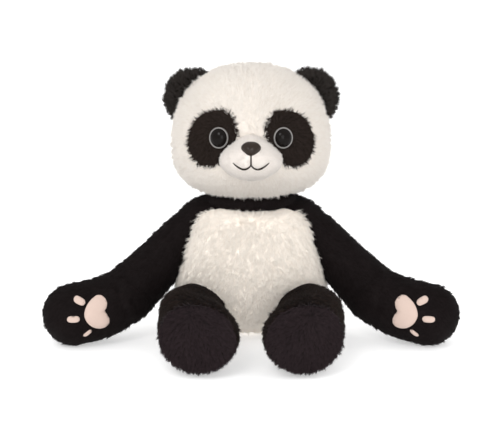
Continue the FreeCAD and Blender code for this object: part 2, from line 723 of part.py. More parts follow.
def ear_thread(name, side):
    """A straight thread that ends in the head's cloth on both sides of the ear, and the bore it needs."""
    out, surface = ear_way(side)
    along = Vector(-out.z, 0, out.x)
    radius = S["ear_thread_radius"]
    half = S["ear_radius"]
    away = surface + S["ear_thread_rise"]
    start = (
        away * out.x - half * along.x,
        AXIS + S["ear_depth"],
        HEAD_HEIGHT + away * out.z - half * along.z,
    )
    lie = Rotation(Vector(0, 0, 1), along)
    bar = rod(f"{name}_ear_bar", start, lie, radius, half * 2)
    bore = rod(f"{name}_ear_bore", start, lie, radius + S["shank_play"], half * 2)
    head_side = head_solid(f"{name}_thread_stop", S["layer_gap"])
    return cut(f"{name}_ear_thread", bar, head_side), bore


# ---- arms --------------------------------------------------------------------------------


def elbow(side):
    return (side * (S["belly_half_width"] + S["elbow_out"]), AXIS - S["elbow_front"], S["elbow_height"])


def paw(side):
    across, front, _ = elbow(side)
    return (across + side * S["paw_out"], front - S["paw_front"], S["paw_radius"])


def span(start, end):
    """Distance between two points given as Sizes."""
    a, b, c = (Size.of(p) - Size.of(q) for p, q in zip(start, end))
    return (a * a + b * b + c * c).root()


def capsule(name, start, end, first, last):
    """Two balls joined by a cone."""
    length = span(start, end)
    corners = [
        (-first, 0, (0, 0, -1)),
        (0, first, None),
        (length, last, (length, 0, -1)),
        (length + last, 0, None),
    ]
    return turned(name, corners, start, between(start, end))


def arm(name, side):
    """Sleeve from shoulder to elbow, paw past the fold, and their stuffing."""
    wall, gap = S["cover_wall"], S["layer_gap"]
    root, bend = shoulder(side), elbow(side)
    first, last = S["shoulder_radius"], S["elbow_radius"]
    sleeve = capsule(f"{name}_sleeve_outside", root, bend, first, last)
    lining = capsule(f"{name}_sleeve_inside", root, bend, first - wall, last - wall)
    sub_part(cut(f"{name}_sleeve", sleeve, lining), f"{name}_sleeve")
    stuffing = capsule(f"{name}_sleeve_stuffing", root, bend, first - wall - gap, last - wall - gap)
    hollow = ball(f"{name}_shoulder_hollow", root, S["shoulder_ball"] + S["joint_gap"])
    sub_part(cut(f"{name}_sleeve_filling", stuffing, hollow), f"{name}_sleeve_filling")
    sub_part(ball(f"{name}_shoulder_filling", root, S["shoulder_ball"]), f"{name}_shoulder_filling")
    paw_pieces(name, side)


def paw_solid(name, side, inset, fold):
    """The paw from the fold to its round end, drawn in by inset."""
    start, end = elbow(side), paw(side)
    length = span(start, end)
    lip = S["elbow_radius"] + S["joint_gap"] + S["fold_lip"] - S["elbow_fold"] / 2
    last = S["paw_radius"] - inset
    corners = [
        (fold, 0, None),
        (fold, lip + S["elbow_fold"] / 4 - inset, None),
        (length, last, (length, 0, -1)),
        (length + last, 0, None),
    ]
    return turned(name, corners, start, between(start, end))


def paw_pieces(name, side):
    """Cover, stuffing, palm pad and three toe pads of one paw."""
    wall, gap = S["cover_wall"], S["layer_gap"]
    bend = elbow(side)
    cup = ball(f"{name}_elbow_cup", bend, S["elbow_radius"] + S["joint_gap"])
    lined = ball(f"{name}_elbow_lining", bend, S["elbow_radius"] + S["joint_gap"] + wall)
    filled = ball(f"{name}_elbow_stuffing", bend, S["elbow_radius"] + S["joint_gap"] + wall + gap)
    fold = S["elbow_fold"]
    outside = paw_solid(f"{name}_paw_outside", side, Size.of(0), fold)
    pocket = cut(f"{name}_paw_pocket", paw_solid(f"{name}_paw_inside", side, wall, fold + wall), lined)
    sub_part(cut(f"{name}_paw_cover", outside, pocket, cup), f"{name}_paw_cover")
    stuffing = paw_solid(f"{name}_paw_stuffing", side, wall + gap, fold + wall + gap)
    sub_part(cut(f"{name}_paw_filling", stuffing, filled), f"{name}_paw_filling")

    layer = cut(
        f"{name}_pad_layer",
        paw_solid(f"{name}_pad_outside", side, -(gap + S["applique_wall"]), fold),
        paw_solid(f"{name}_pad_inside", side, -gap, fold),
    )
    sub_part(common(f"{name}_palm_pad", layer, palm_outline(name, side)), f"{name}_palm_pad")
    toes = [toe_outline(name, side, n) for n in (-1, 0, 1)]
    sub_part(common(f"{name}_toe_pads", layer, fuse(f"{name}_toe_outlines", *toes)), f"{name}_toe_pads")


def pad_frame(side):
    """Where the pads' outlines are drawn: local X runs to the toes, and they are padded to the front."""
    across, front, height = paw(side)
    centre = (across - side * S["palm_in"], front, height + S["palm_lift"])
    face = Rotation(Vector(1, 0, 0), 90)
    if side < 0:
        face = Rotation(Vector(0, 0, 1), 180).multiply(Rotation(Vector(1, 0, 0), -90))
    return centre, face.multiply(Rotation(Vector(0, 0, 1), S["pad_turn"].value * side))


def palm_outline(name, side):
    """A heart lying on its side, its round tip towards the toes."""
    centre, rotation = pad_frame(side)
    lobe, half, tip = S["palm_lobe"], S["palm_half_height"], S["palm_tip"]
    top = half - lobe
    swell = (tip * tip - half * half) / (2 * tip)
    corners = [
        (-lobe / 2, 0, None),
        (-lobe, top, (0, top, -1)),
        (0, half, (swell, 0, -1)),
        (0, -half, (0, -top, -1)),
        (-lobe, -top, None),
    ]
    reach = S["paw_radius"] * 2
    return padded_outline(f"{name}_palm_outline", corners, reach, centre, rotation)


def toe_outline(name, side, step):
    """A short bar with round ends, on a ray from the middle of the palm pad."""
    centre, rotation = pad_frame(side)
    angle = S["toe_turn"].value * side + step * S["toe_spread"].value
    spin = rotation.multiply(Rotation(Vector(0, 0, 1), angle))
    away = S["toe_reach"] - S["toe_length"] / 2
    half = S["toe_half_width"]
    far = away + S["toe_length"]
    corners = [
        (away + half, half, None),
        (far - half, half, (far - half, 0, -1)),
        (far - half, -half, None),
        (away + half, -half, (away + half, 0, -1)),
    ]
    number = step + 2
    return padded_outline(f"{name}_toe_{number}", corners, S["paw_radius"] * 2, centre, spin)


# ---- legs --------------------------------------------------------------------------------


def arc_centre(start, end, x):
    """Height of the centre, at x along, of the arc between two points given as (x, y)."""
    (ax, ay), (bx, by) = start, end
    near, far = ax - x, bx - x
    return (by * by + far * far - ay * ay - near * near) / (2 * (by - ay))


def leg_solid(name, side, inset, end):
    """Ball at the hip, a fold, the thigh and a rounded edge at the sole, drawn in by inset."""
    first, last = S["hip_radius"] - inset, S["leg_radius"] - inset
    fold, thigh, straight = S["leg_fold"], THIGH_LENGTH, FOOT_LENGTH
    crease = (first * first - fold * fold).root()
    full, sole = S["thigh_radius"] - inset, S["sole_radius"]
    corners = [
        (-first, 0, (0, 0, -1)),
        (fold, crease, (thigh, arc_centre((fold, crease), (thigh, full), thigh), -1)),
        (thigh, full, None),
        (straight, last, (straight, arc_centre((straight, last), (end, sole), straight), -1)),
        (end, sole, None),
        (end, 0, None),
    ]
    turn = Rotation(Vector(1, 0, 0), Vector(side * math.sin(SPLAY), -math.cos(SPLAY), 0))
    return turned(name, corners, hip(side), turn)


def leg(name, side):
    """Cover, stuffing and the round sole of one leg."""
    wall, gap = S["cover_wall"], S["layer_gap"]
    length = LEG_LENGTH
    turn = Rotation(Vector(1, 0, 0), Vector(side * math.sin(SPLAY), -math.cos(SPLAY), 0))
    sole_back = length - S["sole_wall"]
    window = turned(
        f"{name}_sole_window", pin_profile(sole_back - gap, length + wall, S["sole_radius"]), hip(side), turn
    )
    outside = leg_solid(f"{name}_leg_outside", side, Size.of(0), length)
    inside = leg_solid(f"{name}_leg_inside", side, wall, sole_back)
    sub_part(cut(f"{name}_leg_cover", outside, inside, window), f"{name}_leg_cover")
    stuffing = leg_solid(f"{name}_leg_stuffing", side, wall + gap, sole_back - gap)
    sub_part(cut(f"{name}_leg_filling", stuffing, window), f"{name}_leg_filling")
    sole = turned(f"{name}_sole", pin_profile(sole_back, length, S["sole_radius"] - gap), hip(side), turn)
    sub_part(sole, f"{name}_sole")


# ---- build, check and write ---------------------------------------------------------------


def check_document():
    """Stops with a message if any object failed, or a sub-part's shape isn't sound."""
    for obj in DOC.Objects:
        if "Invalid" in obj.State or "Error" in obj.State:
            raise RuntimeError(f"{obj.Name} failed: {obj.State}")
    for obj in SUB_PARTS:
        if obj.Shape.isNull() or not obj.Shape.isValid() or obj.Shape.Volume <= 0 or not obj.Shape.Solids:
            raise RuntimeError(f"{obj.Label} has no sound shape")


def main():
    torso()
    head()
    for name, side in SIDES.items():
        arm(name, side)
        leg(name, side)
    DOC.recompute()
    check_document()
    os.makedirs("parts", exist_ok=True)
    for obj in SUB_PARTS:
        obj.Shape.exportStep(os.path.join("parts", obj.Label + ".step"))
    box = FreeCAD.BoundBox()
    for obj in SUB_PARTS:
        box.add(obj.Shape.BoundBox)
    print(len(SUB_PARTS), "sub-parts, box", box)


main()
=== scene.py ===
"""Seated plush panda: stuffed skins, their pile, and the fittings sewn or pinned to them.

Metres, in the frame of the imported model: +Z up, the toy looks along -Y, its own left is +X.
Every skin is a stuffed cloth shell, and its pile is a mesh of tapered fibres that stand on it.
"""
import json
import logging
import math
from dataclasses import dataclass
from enum import Enum
from typing import Callable, Sequence, Union

import bpy
import numpy as np
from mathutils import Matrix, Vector
from mathutils.bvhtree import BVHTree
from mathutils.kdtree import KDTree


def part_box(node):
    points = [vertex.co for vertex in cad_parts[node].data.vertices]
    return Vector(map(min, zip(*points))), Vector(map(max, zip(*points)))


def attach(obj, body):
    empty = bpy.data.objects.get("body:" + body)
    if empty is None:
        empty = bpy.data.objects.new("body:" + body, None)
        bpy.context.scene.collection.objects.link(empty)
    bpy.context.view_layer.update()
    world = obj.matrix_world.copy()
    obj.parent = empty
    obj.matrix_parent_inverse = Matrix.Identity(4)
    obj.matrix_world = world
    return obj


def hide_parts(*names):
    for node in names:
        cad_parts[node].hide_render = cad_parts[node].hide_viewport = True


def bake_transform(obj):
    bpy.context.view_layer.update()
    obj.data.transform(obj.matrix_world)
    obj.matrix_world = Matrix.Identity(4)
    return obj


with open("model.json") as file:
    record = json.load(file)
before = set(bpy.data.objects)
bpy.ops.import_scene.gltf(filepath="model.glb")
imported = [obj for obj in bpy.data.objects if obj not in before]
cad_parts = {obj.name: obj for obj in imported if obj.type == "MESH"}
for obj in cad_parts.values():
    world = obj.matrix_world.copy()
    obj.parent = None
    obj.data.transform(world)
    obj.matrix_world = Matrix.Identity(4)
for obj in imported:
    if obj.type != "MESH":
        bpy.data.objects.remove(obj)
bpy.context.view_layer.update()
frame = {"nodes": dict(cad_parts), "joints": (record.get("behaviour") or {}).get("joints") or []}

LOG = logging.getLogger("panda")
MM = 0.001
Rgb = tuple[float, float, float]
Array = np.ndarray
Rule = Callable[[Array], Array]
Value = Union["Wire", float]
FLOOR_GAP = 1.2 * MM    # cloth lies this far over the floor, and its pile fills the gap
SEAM_HALF = 2.4 * MM    # cloth this near to a seam's line is held by it
SWELL_STEPS = 20        # frames in which the stuffing pushes the cloth out
SAMPLES = 400           # places along a limb at which its radius is worked out


class Side(Enum):
    """The toy's own two sides, with the sign of X."""

    LEFT = 1
    RIGHT = -1

    @property
    def word(self) -> str:
        """The side's name as the nodes and bodies use it."""
        return self.name.lower()


# ---- materials ------------------------------------------------------------------------------


class Wire:
    """A node's output that can be used in arithmetic."""

    def __init__(self, tree: bpy.types.NodeTree, socket: bpy.types.NodeSocket) -> None:
        """Keeps the tree and the socket."""
        self.tree = tree
        self.socket = socket

    def _math(self, operation: str, *values: Value) -> "Wire":
        """Adds one Math node.

        Args:
            operation: the node's operation.
            values: what goes into its sockets, in order.

        Returns:
            The node's output.
        """
        node = self.tree.nodes.new("ShaderNodeMath")
        node.operation = operation
        for socket, value in zip(node.inputs, values):
            if isinstance(value, Wire):
                self.tree.links.new(value.socket, socket)
            else:
                socket.default_value = value
        return Wire(self.tree, node.outputs[0])

    def __add__(self, other: Value) -> "Wire":
        """This plus other."""
        return self._math("ADD", self, other)

    __radd__ = __add__

    def __mul__(self, other: Value) -> "Wire":
        """This times other."""
        return self._math("MULTIPLY", self, other)

    __rmul__ = __mul__

    def __pow__(self, other: float) -> "Wire":
        """This to a power."""
        return self._math("POWER", self, other)


class Recipe:
    """The node tree of one material, with its Principled shader."""

    def __init__(self, name: str) -> None:
        """Starts a material with only an output and a Principled shader.

        Args:
            name: the material's name.
        """
        self.material = bpy.data.materials.new(name)
        self.material.use_nodes = True
        self.tree = self.material.node_tree
        self.shader = self.tree.nodes["Principled BSDF"]
        self.place = Wire(self.tree, self.tree.nodes.new("ShaderNodeTexCoord").outputs["Object"])

    def node(self, kind: str, settings: dict[str, object], inputs: dict[str, object]) -> bpy.types.Node:
        """Adds a node.

        Args:
            kind: the node's type.
            settings: its properties, set first.
            inputs: socket name or identifier to a value or a Wire.

        Returns:
            The node.
        """
        node = self.tree.nodes.new(kind)
        for key, value in settings.items():
            setattr(node, key, value)
        for key, value in inputs.items():
            self.feed(node, key, value)
        return node

    def feed(self, node: bpy.types.Node, key: str, value: object) -> None:
        """Sets or links one socket of a node.

        Args:
            node: the node.
            key: the socket's identifier or name.
            value: a constant or a Wire.
        """
        socket = next((s for s in node.inputs if s.identifier == key), None) or node.inputs[key]
        if isinstance(value, Wire):
            self.tree.links.new(value.socket, socket)
        else:
            socket.default_value = value

    def noise(self, scale: float, detail: float = 2.0) -> Wire:
        """A noise value over the piece.

        Args:
            scale: how many features in a metre.
            detail: octaves of finer noise.

        Returns:
            A value about 0.5.
        """
        inputs = {"Vector": self.place, "Scale": scale, "Detail": detail}
        return Wire(self.tree, self.node("ShaderNodeTexNoise", {}, inputs).outputs["Fac"])

    def blend(self, amount: Value, first: object, second: object) -> Wire:
        """Mixes two colours.

        Args:
            amount: 0 for the first, 1 for the second.
            first: a colour or a Wire.
            second: a colour or a Wire.

        Returns:
            The mixed colour.
        """
        ends = [value if isinstance(value, Wire) else (*value, 1) for value in (first, second)]
        inputs = {"Factor_Float": amount, "A_Color": ends[0], "B_Color": ends[1]}
        node = self.node("ShaderNodeMix", {"data_type": "RGBA"}, inputs)
        return Wire(self.tree, next(s for s in node.outputs if s.identifier == "Result_Color"))

    def bump(self, height: Wire, strength: float, depth: float) -> None:
        """Feeds a height into the shader's normal.

        Args:
            height: the height, 0 to 1.
            strength: how much of it shows.
            depth: its size in metres.
        """
        node = self.node("ShaderNodeBump", {}, {"Height": height, "Strength": strength, "Distance": depth})
        self.feed(self.shader, "Normal", Wire(self.tree, node.outputs["Normal"]))

    def set(self, **values: object) -> None:
        """Sets sockets of the shader, given with _ for a space."""
        for key, value in values.items():
            self.feed(self.shader, key.replace("_", " "), value)


@dataclass(frozen=True)
class Finish:
    """A finish, whose materials are each made once.

    Attributes:
        name: what its materials' names start with.
    """

    name: str

    def once(self, ending: str, paint: Callable[[Recipe], None]) -> bpy.types.Material:
        """The material called name_ending, which paint fills the first time it is asked for.

        Args:
            ending: what follows the finish's name.
            paint: fills a new material's recipe.

        Returns:
            The material.
        """
        known = bpy.data.materials.get(f"{self.name}_{ending}")
        if known:
            return known
        recipe = Recipe(f"{self.name}_{ending}")
        paint(recipe)
        return recipe.material


@dataclass(frozen=True)
class PlushFinish(Finish):
    """Dyed plush: the colour of its fibres from root to tip, darker at the root as painted shade and lighter at the
    tip as a painted sheen, and its cloth's.

    Attributes:
        root: colour at a fibre's root and of the cloth, painted shade among the fibres.
        tip: colour at its tip, lighter as a painted sheen.
        stray: colour that some tufts lean to.
        sheen: strength of the soft light along the edges.
        gloss: roughness of the fibres.
        shine: strength of their reflections.
    """

    root: Rgb
    tip: Rgb
    stray: Rgb
    sheen: float = 0.2
    gloss: float = 0.75
    shine: float = 0.2

    def pile(self) -> bpy.types.Material:
        """Material of the fibres, which carry how far along they are and two numbers of chance.

        Returns:
            The material.
        """

        def paint(recipe: Recipe) -> None:
            """Painted shade at the root to a painted sheen at the tip, with tufts and patches that lean to the
            stray colour.

            Args:
                recipe: the material's recipe.
            """
            fibre = recipe.node("ShaderNodeAttribute", {"attribute_name": "fibre"}, {})
            parts = recipe.node("ShaderNodeSeparateColor", {}, {"Color": Wire(recipe.tree, fibre.outputs["Color"])})
            along, own, tuft = (Wire(recipe.tree, parts.outputs[n]) for n in range(3))
            # painted shade at the roots, running to a painted sheen at the tips
            length = recipe.blend(along**0.8, self.root, self.tip)
            tufted = recipe.blend(tuft * 0.45 * (0.4 + own * 0.6), length, self.stray)
            patchy = recipe.blend(recipe.noise(45.0) * 0.3, tufted, self.stray)
            recipe.set(Base_Color=patchy, Roughness=self.gloss, Sheen_Weight=self.sheen, Sheen_Roughness=0.5)
            recipe.set(Specular_IOR_Level=self.shine)

        return self.once("pile", paint)

    def cloth(self) -> bpy.types.Material:
        """Material of the cloth the fibres stand on, in the fibres' painted root shade.

        Returns:
            The material.
        """

        def paint(recipe: Recipe) -> None:
            """A fine knit with faint clouds of dye.

            Args:
                recipe: the material's recipe.
            """
            weave = recipe.noise(1400.0, 3.0)
            # the cloth is painted in the root's shade, with the knit and clouds of dye over it
            shade = recipe.blend(weave * 0.5 + recipe.noise(40.0) * 0.5, self.root, self.stray)
            recipe.set(Base_Color=shade, Roughness=0.9, Sheen_Weight=self.sheen, Specular_IOR_Level=self.shine)
            recipe.bump(weave, 0.5, 0.6 * MM)

        return self.once("cloth", paint)


@dataclass(frozen=True)
class MouldedFinish(Finish):
    """Moulded plastic, polished or matt.

    Attributes:
        colour: its colour.
        tint: the colour it drifts to.
        roughness: of the surface.
        grain: depth of its fine texture in metres.
        shine: strength of its reflections.
    """

    colour: Rgb
    tint: Rgb
    roughness: float = 0.1
    grain: float = 0.0
    shine: float = 0.5

    def material(self) -> bpy.types.Material:
        """The plastic's material.

        Returns:
            The material.
        """

        def paint(recipe: Recipe) -> None:
            """Faint clouds in the colour and the polish, and a fine grain on matt plastic.

            Args:
                recipe: the material's recipe.
            """
            cloud = recipe.noise(220.0, 3.0)
            recipe.set(Base_Color=recipe.blend(cloud, self.colour, self.tint))
            recipe.set(Roughness=self.roughness + cloud * 0.06, Specular_IOR_Level=self.shine)
            if self.grain:
                recipe.bump(recipe.noise(1800.0), 0.4, self.grain)

        return self.once("finish", paint)


@dataclass(frozen=True)
class SewnFinish(Finish):
    """Flat cloth, thread or loose fibre.

    Attributes:
        colour: its colour.
        shade: the colour of its hollows.
        scale: features in a metre.
        depth: their depth in metres.
        sheen: strength of the soft light along the edges.
    """

    colour: Rgb
    shade: Rgb
    scale: float
    depth: float
    sheen: float = 0.3

    def material(self) -> bpy.types.Material:
        """The cloth's material.

        Returns:
            The material.
        """

        def paint(recipe: Recipe) -> None:
            """A grain with a wider mottle under it.

            Args:
                recipe: the material's recipe.
            """
            grain = recipe.noise(self.scale, 3.0)
            mottle = recipe.noise(self.scale * 0.06)
            recipe.set(Base_Color=recipe.blend(grain * 0.6 + mottle * 0.4, self.shade, self.colour))
            recipe.set(Roughness=0.85, Sheen_Weight=self.sheen, Sheen_Roughness=0.4, Specular_IOR_Level=0.25)
            recipe.bump(grain, 0.6, self.depth)

        return self.once("finish", paint)


# Plush colours: the root colour, also the cloth's, is painted shade among the fibres, and the lighter tip colour is
# a painted sheen.
CREAM = PlushFinish("cream_plush", (0.80, 0.725, 0.65), (0.90, 0.855, 0.80), (0.85, 0.79, 0.715), 0.2)
# Painted light: the belly's cream is raised near white, so the belly and back that fall in shade still render
# bright.
BELLY_PAINTED_LIGHT = PlushFinish("belly_plush", (0.97, 0.87, 0.765), (1.0, 0.945, 0.862), (0.98, 0.895, 0.80), 0.25)
WHITE = PlushFinish("muzzle_plush", (0.73, 0.67, 0.62), (0.83, 0.79, 0.745), (0.78, 0.72, 0.67), 0.15)
BLACK = PlushFinish(
    "black_plush", (0.0048, 0.0028, 0.0028), (0.0120, 0.0080, 0.0082), (0.008, 0.005, 0.005), 0.02, 0.7, 0.1
)
LEG = PlushFinish(
    "leg_plush", (0.0060, 0.0034, 0.0028), (0.0300, 0.0175, 0.0130), (0.015, 0.008, 0.006), 0.02, 0.7, 0.1
)
SOLE = PlushFinish(
    "sole_plush", (0.0036, 0.0018, 0.0022), (0.035, 0.0215, 0.025), (0.008, 0.0042, 0.005), 0.03, 0.65, 0.12
)
EAR = PlushFinish(
    "ear_plush", (0.0040, 0.0025, 0.0025), (0.048, 0.041, 0.036), (0.016, 0.012, 0.010), 0.03, 0.65, 0.12
)
PATCH = PlushFinish(
    "patch_plush", (0.007, 0.0045, 0.0035), (0.032, 0.021, 0.017), (0.016, 0.010, 0.007), 0.02, 0.7, 0.12
)
PAD = SewnFinish("pad_velour", (0.61, 0.485, 0.42), (0.53, 0.40, 0.345), 1500.0, 0.35 * MM)
THREAD = SewnFinish("sewing_thread", (0.030, 0.020, 0.016), (0.010, 0.007, 0.005), 2500.0, 0.15 * MM, 0.1)
STUFFING = SewnFinish("stuffing_fibre", (0.85, 0.85, 0.83), (0.60, 0.60, 0.58), 500.0, 1.0 * MM)
BAG = SewnFinish("bag_cloth", (0.70, 0.68, 0.64), (0.50, 0.48, 0.44), 1200.0, 0.2 * MM)
TAPE = SewnFinish("label_tape", (0.85, 0.85, 0.84), (0.70, 0.70, 0.70), 2000.0, 0.1 * MM, 0.5)
EYE = MouldedFinish("eye_plastic", (0.004, 0.003, 0.003), (0.007, 0.005, 0.004), 0.08, shine=0.09)
RING = MouldedFinish("ring_plastic", (0.17, 0.16, 0.155), (0.22, 0.21, 0.20), 0.28, shine=0.5)
NOSE = MouldedFinish("nose_plastic", (0.016, 0.010, 0.007), (0.024, 0.015, 0.010), 0.28, 0.05 * MM, 0.2)
WASHER = MouldedFinish("washer_plastic", (0.75, 0.75, 0.72), (0.68, 0.68, 0.65), 0.45)


# ---- sewing room ----------------------------------------------------------------------------


def unit(vectors: Array) -> Array:
    """Each row at length 1."""
    return vectors / np.maximum(np.linalg.norm(vectors, axis=-1, keepdims=True), 1e-12)


def span(*nodes: str) -> tuple[Array, Array]:
    """Lowest and highest corners of the box round some nodes."""
    boxes = [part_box(node) for node in nodes]
    return np.min([b[0] for b in boxes], axis=0), np.max([b[1] for b in boxes], axis=0)


def pivot(joint: str) -> Array:
    """Where a joint turns."""
    return np.array(next(j["pos_m"] for j in frame["joints"] if j["name"] == joint), float)


def middle(*nodes: str) -> Array:
    """Middle of the box round some nodes."""
    low, high = span(*nodes)
    return (low + high) / 2


def coords(obj: bpy.types.Object) -> Array:
    """The object's vertices.

    Args:
        obj: the object.

    Returns:
        Their places.
    """
    flat = np.empty(len(obj.data.vertices) * 3)
    obj.data.vertices.foreach_get("co", flat)
    return flat.reshape(-1, 3)


def set_coords(obj: bpy.types.Object, points: Array) -> None:
    """Moves the object's vertices to points."""
    obj.data.vertices.foreach_set("co", np.ascontiguousarray(points, np.float64).ravel())
    obj.data.update()


def activate(obj: bpy.types.Object) -> None:
    """Makes obj the only selected object and the active one.

    Args:
        obj: the object.
    """
    bpy.ops.object.select_all(action="DESELECT")
    obj.select_set(True)
    bpy.context.view_layer.objects.active = obj


def apply_modifiers(obj: bpy.types.Object) -> None:
    """Applies every modifier of obj in order.

    Args:
        obj: the object.
    """
    activate(obj)
    for modifier in list(obj.modifiers):
        bpy.ops.object.modifier_apply(modifier=modifier.name)


def smooth(obj: bpy.types.Object) -> None:
    """Shades obj smooth all over."""
    obj.data.polygons.foreach_set("use_smooth", [True] * len(obj.data.polygons))
    obj.data.update()


def dress(obj: bpy.types.Object, material: bpy.types.Material, body: str) -> bpy.types.Object:
    """Gives a piece its material and the body it rides on.

    Args:
        obj: the piece.
        material: what it is made of.
        body: the body it moves with.

    Returns:
        The piece.
    """
    obj.data.materials.clear()
    obj.data.materials.append(material)
    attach(obj, body)
    LOG.info("%s: %d faces, on %s", obj.name, len(obj.data.polygons), body)
    return obj


def ball(name: str, rule: Rule, segments: int, rings: int) -> bpy.types.Object:
    """A closed skin: a sphere whose vertices are moved by a rule.

    Args:
        name: the object's name.
        rule: takes points on the unit sphere and returns places in metres.
        segments: faces round it.
        rings: faces from pole to pole.

    Returns:
        The object.
    """
    bpy.ops.object.select_all(action="DESELECT")
    bpy.ops.mesh.primitive_uv_sphere_add(segments=segments, ring_count=rings, radius=1)
    obj = bpy.context.object
    obj.name = obj.data.name = name
    set_coords(obj, rule(unit(coords(obj))))
    outward(obj)
    smooth(obj)
    return obj


def outward(obj: bpy.types.Object) -> None:
    """Turns every face of a closed mesh outwards.

    Args:
        obj: the object.
    """
    activate(obj)
    bpy.ops.object.mode_set(mode="EDIT")
    bpy.ops.mesh.select_all(action="SELECT")
    bpy.ops.mesh.normals_make_consistent(inside=False)
    bpy.ops.object.mode_set(mode="OBJECT")


@dataclass(frozen=True)
class Stuffing:
    """How hard a skin is filled.

    Attributes:
        voxel: size of the cloth's faces in metres.
        pressure: of the filling.
        slack: spare cloth, as a share of its size.
        cap: furthest that a point may move, in metres.
        fill: 0 slack to 1 tight; not used.
    """

    voxel: float = 4.5 * MM
    pressure: float = 4.0
    slack: float = 0.04
    cap: float = 3.0 * MM
    fill: float = 0.7

    def remesh(self, obj: bpy.types.Object) -> None:
        """Gives the skin even faces.

        Args:
            obj: the object.
        """
        activate(obj)
        obj.data.remesh_voxel_size = self.voxel
        obj.data.use_remesh_fix_poles = True
        bpy.ops.object.voxel_remesh()

    def swell(self, obj: bpy.types.Object, seam: Rule) -> None:
        """Blows the cloth up from inside while its seams stay where they are.

        Args:
            obj: the skin.
            seam: takes the vertices and returns 1 on a seam, 0 away from it.
        """
        rest = coords(obj)
        held = obj.vertex_groups.new(name="seam")
        for index in np.nonzero(seam(rest) > 0.5)[0]:
            held.add([int(index)], 1.0, "REPLACE")
        cloth = obj.modifiers.new("stuffing", "CLOTH")
        cloth.settings.quality = 5
        cloth.settings.mass = 0.2
        cloth.settings.use_pressure = True
        cloth.settings.uniform_pressure_force = self.pressure
        cloth.settings.shrink_min = -self.slack
        cloth.settings.vertex_group_mass = "seam"
        cloth.settings.effector_weights.gravity = 0
        cloth.collision_settings.use_collision = False
        scene = bpy.context.scene
        for frame_number in range(1, SWELL_STEPS + 1):
            scene.frame_set(frame_number)
        shaped = obj.evaluated_get(bpy.context.evaluated_depsgraph_get())
        moved = coords(shaped) - rest
        far = np.linalg.norm(moved, axis=1, keepdims=True)
        moved *= np.minimum(1, self.cap / np.maximum(far, 1e-9))
        obj.modifiers.remove(cloth)
        obj.vertex_groups.remove(held)
        scene.frame_set(1)
        set_coords(obj, rest + moved)

    def finish(self, obj: bpy.types.Object, seam: Rule) -> None:
        """Args:
            obj: the skin.
            seam: takes the vertices and returns 1 on a seam, 0 away from it.
        """
        self.remesh(obj)
        self.swell(obj, seam)
        fine = obj.modifiers.new("fine", "SUBSURF")
        fine.levels = fine.render_levels = 1
        apply_modifiers(obj)
        smooth(obj)


def no_seam(points: Array) -> Array:
    """No vertex is on a seam."""
    return np.zeros(len(points))


# ---- pile -----------------------------------------------------------------------------------


class Skin:
    """The triangles of a finished skin, to scatter fibres on and to keep fibres out of."""

    def __init__(self, obj: bpy.types.Object) -> None:
        """Reads the mesh.

        Args:
            obj: a skin whose place is in its mesh.
        """
        mesh = obj.data
        mesh.calc_loop_triangles()
        self.points = coords(obj)
        corners = np.empty(len(mesh.loop_triangles) * 3, np.int32)
        mesh.loop_triangles.foreach_get("vertices", corners)
        self.triangles = corners.reshape(-1, 3)
        normals = np.empty(len(mesh.vertices) * 3)
        mesh.vertices.foreach_get("normal", normals)
        self.normals = normals.reshape(-1, 3)
        self.tree = BVHTree.FromPolygons(self.points.tolist(), self.triangles.tolist())

    def scatter(self, count: int, draw: np.random.Generator, weight: Rule) -> tuple[Array, Array]:
        """Picks points all over, as many to an area as weight says.

        Args:
            count: how many.
            draw: the source of chance.
            weight: takes places and returns how thick the pile is there, 0 to 1.

        Returns:
            The points and the skin's normals there.
        """
        a, b, c = (self.points[self.triangles[:, n]] for n in range(3))
        area = np.linalg.norm(np.cross(b - a, c - a), axis=1) * weight((a + b + c) / 3)
        picked = draw.choice(len(area), count, p=area / area.sum())
        u, v = draw.random(count), draw.random(count)
        flip = u + v > 1
        u[flip], v[flip] = 1 - u[flip], 1 - v[flip]
        share = np.stack([1 - u - v, u, v], axis=1)[..., None]
        corners = self.triangles[picked]
        points = (self.points[corners] * share).sum(axis=1)
        return points, unit((self.normals[corners] * share).sum(axis=1))

    def holds(self, points: Array) -> Array:
        """Which points are inside the skin.

        Args:
            points: the places.

        Returns:
            True for each that is inside.
        """
        low, high = self.points.min(axis=0), self.points.max(axis=0)
        near = ((points > low) & (points < high)).all(axis=1)
        found = np.zeros(len(points), bool)
        for index in np.nonzero(near)[0]:
            place, normal, _, _ = self.tree.find_nearest(points[index].tolist())
            found[index] = (Vector(points[index]) - place).dot(normal) < 0
        return found

    def face(self, across: Array, height: Array) -> tuple[Array, Array]:
        """Looks at the skin from the front.

        Args:
            across: X of each point.
            height: Z of each point.

        Returns:
            The first places met going along +Y, and the skin's normals there.
        """
        places, normals = [], []
        for x, z in zip(across, height):
            place, _, index, _ = self.tree.ray_cast(Vector((x, -1.0, z)), Vector((0, 1, 0)))
            if place is None:
                place, _, index, _ = self.tree.find_nearest(Vector((x, self.points[:, 1].min(), z)))
            places.append(place[:])
            normals.append(self.normals[self.triangles[index]].mean(axis=0))
        return np.array(places), unit(np.array(normals))


EVERYWHERE: Rule = lambda points: np.ones(len(points))
SUNK = 0.06                         # share of a fibre's length that lies under the skin
LEAST_RISE = 0.12                   # how far a fibre always stands off the skin
ROUNDNESS = 0.55                    # how far a fibre's shading turns from the skin's to its own
FIBRE_FACES = np.array([(0, 2, 1), (0, 1, 3), (1, 2, 3), (2, 0, 3)])
FIBRE_HEIGHT = np.array([0.0, 0.0, 0.0, 1.0])
FIBRE_ACROSS = np.array([0.15, 0.85, 0.5, 0.5])
FIBRE_POINTS = 4


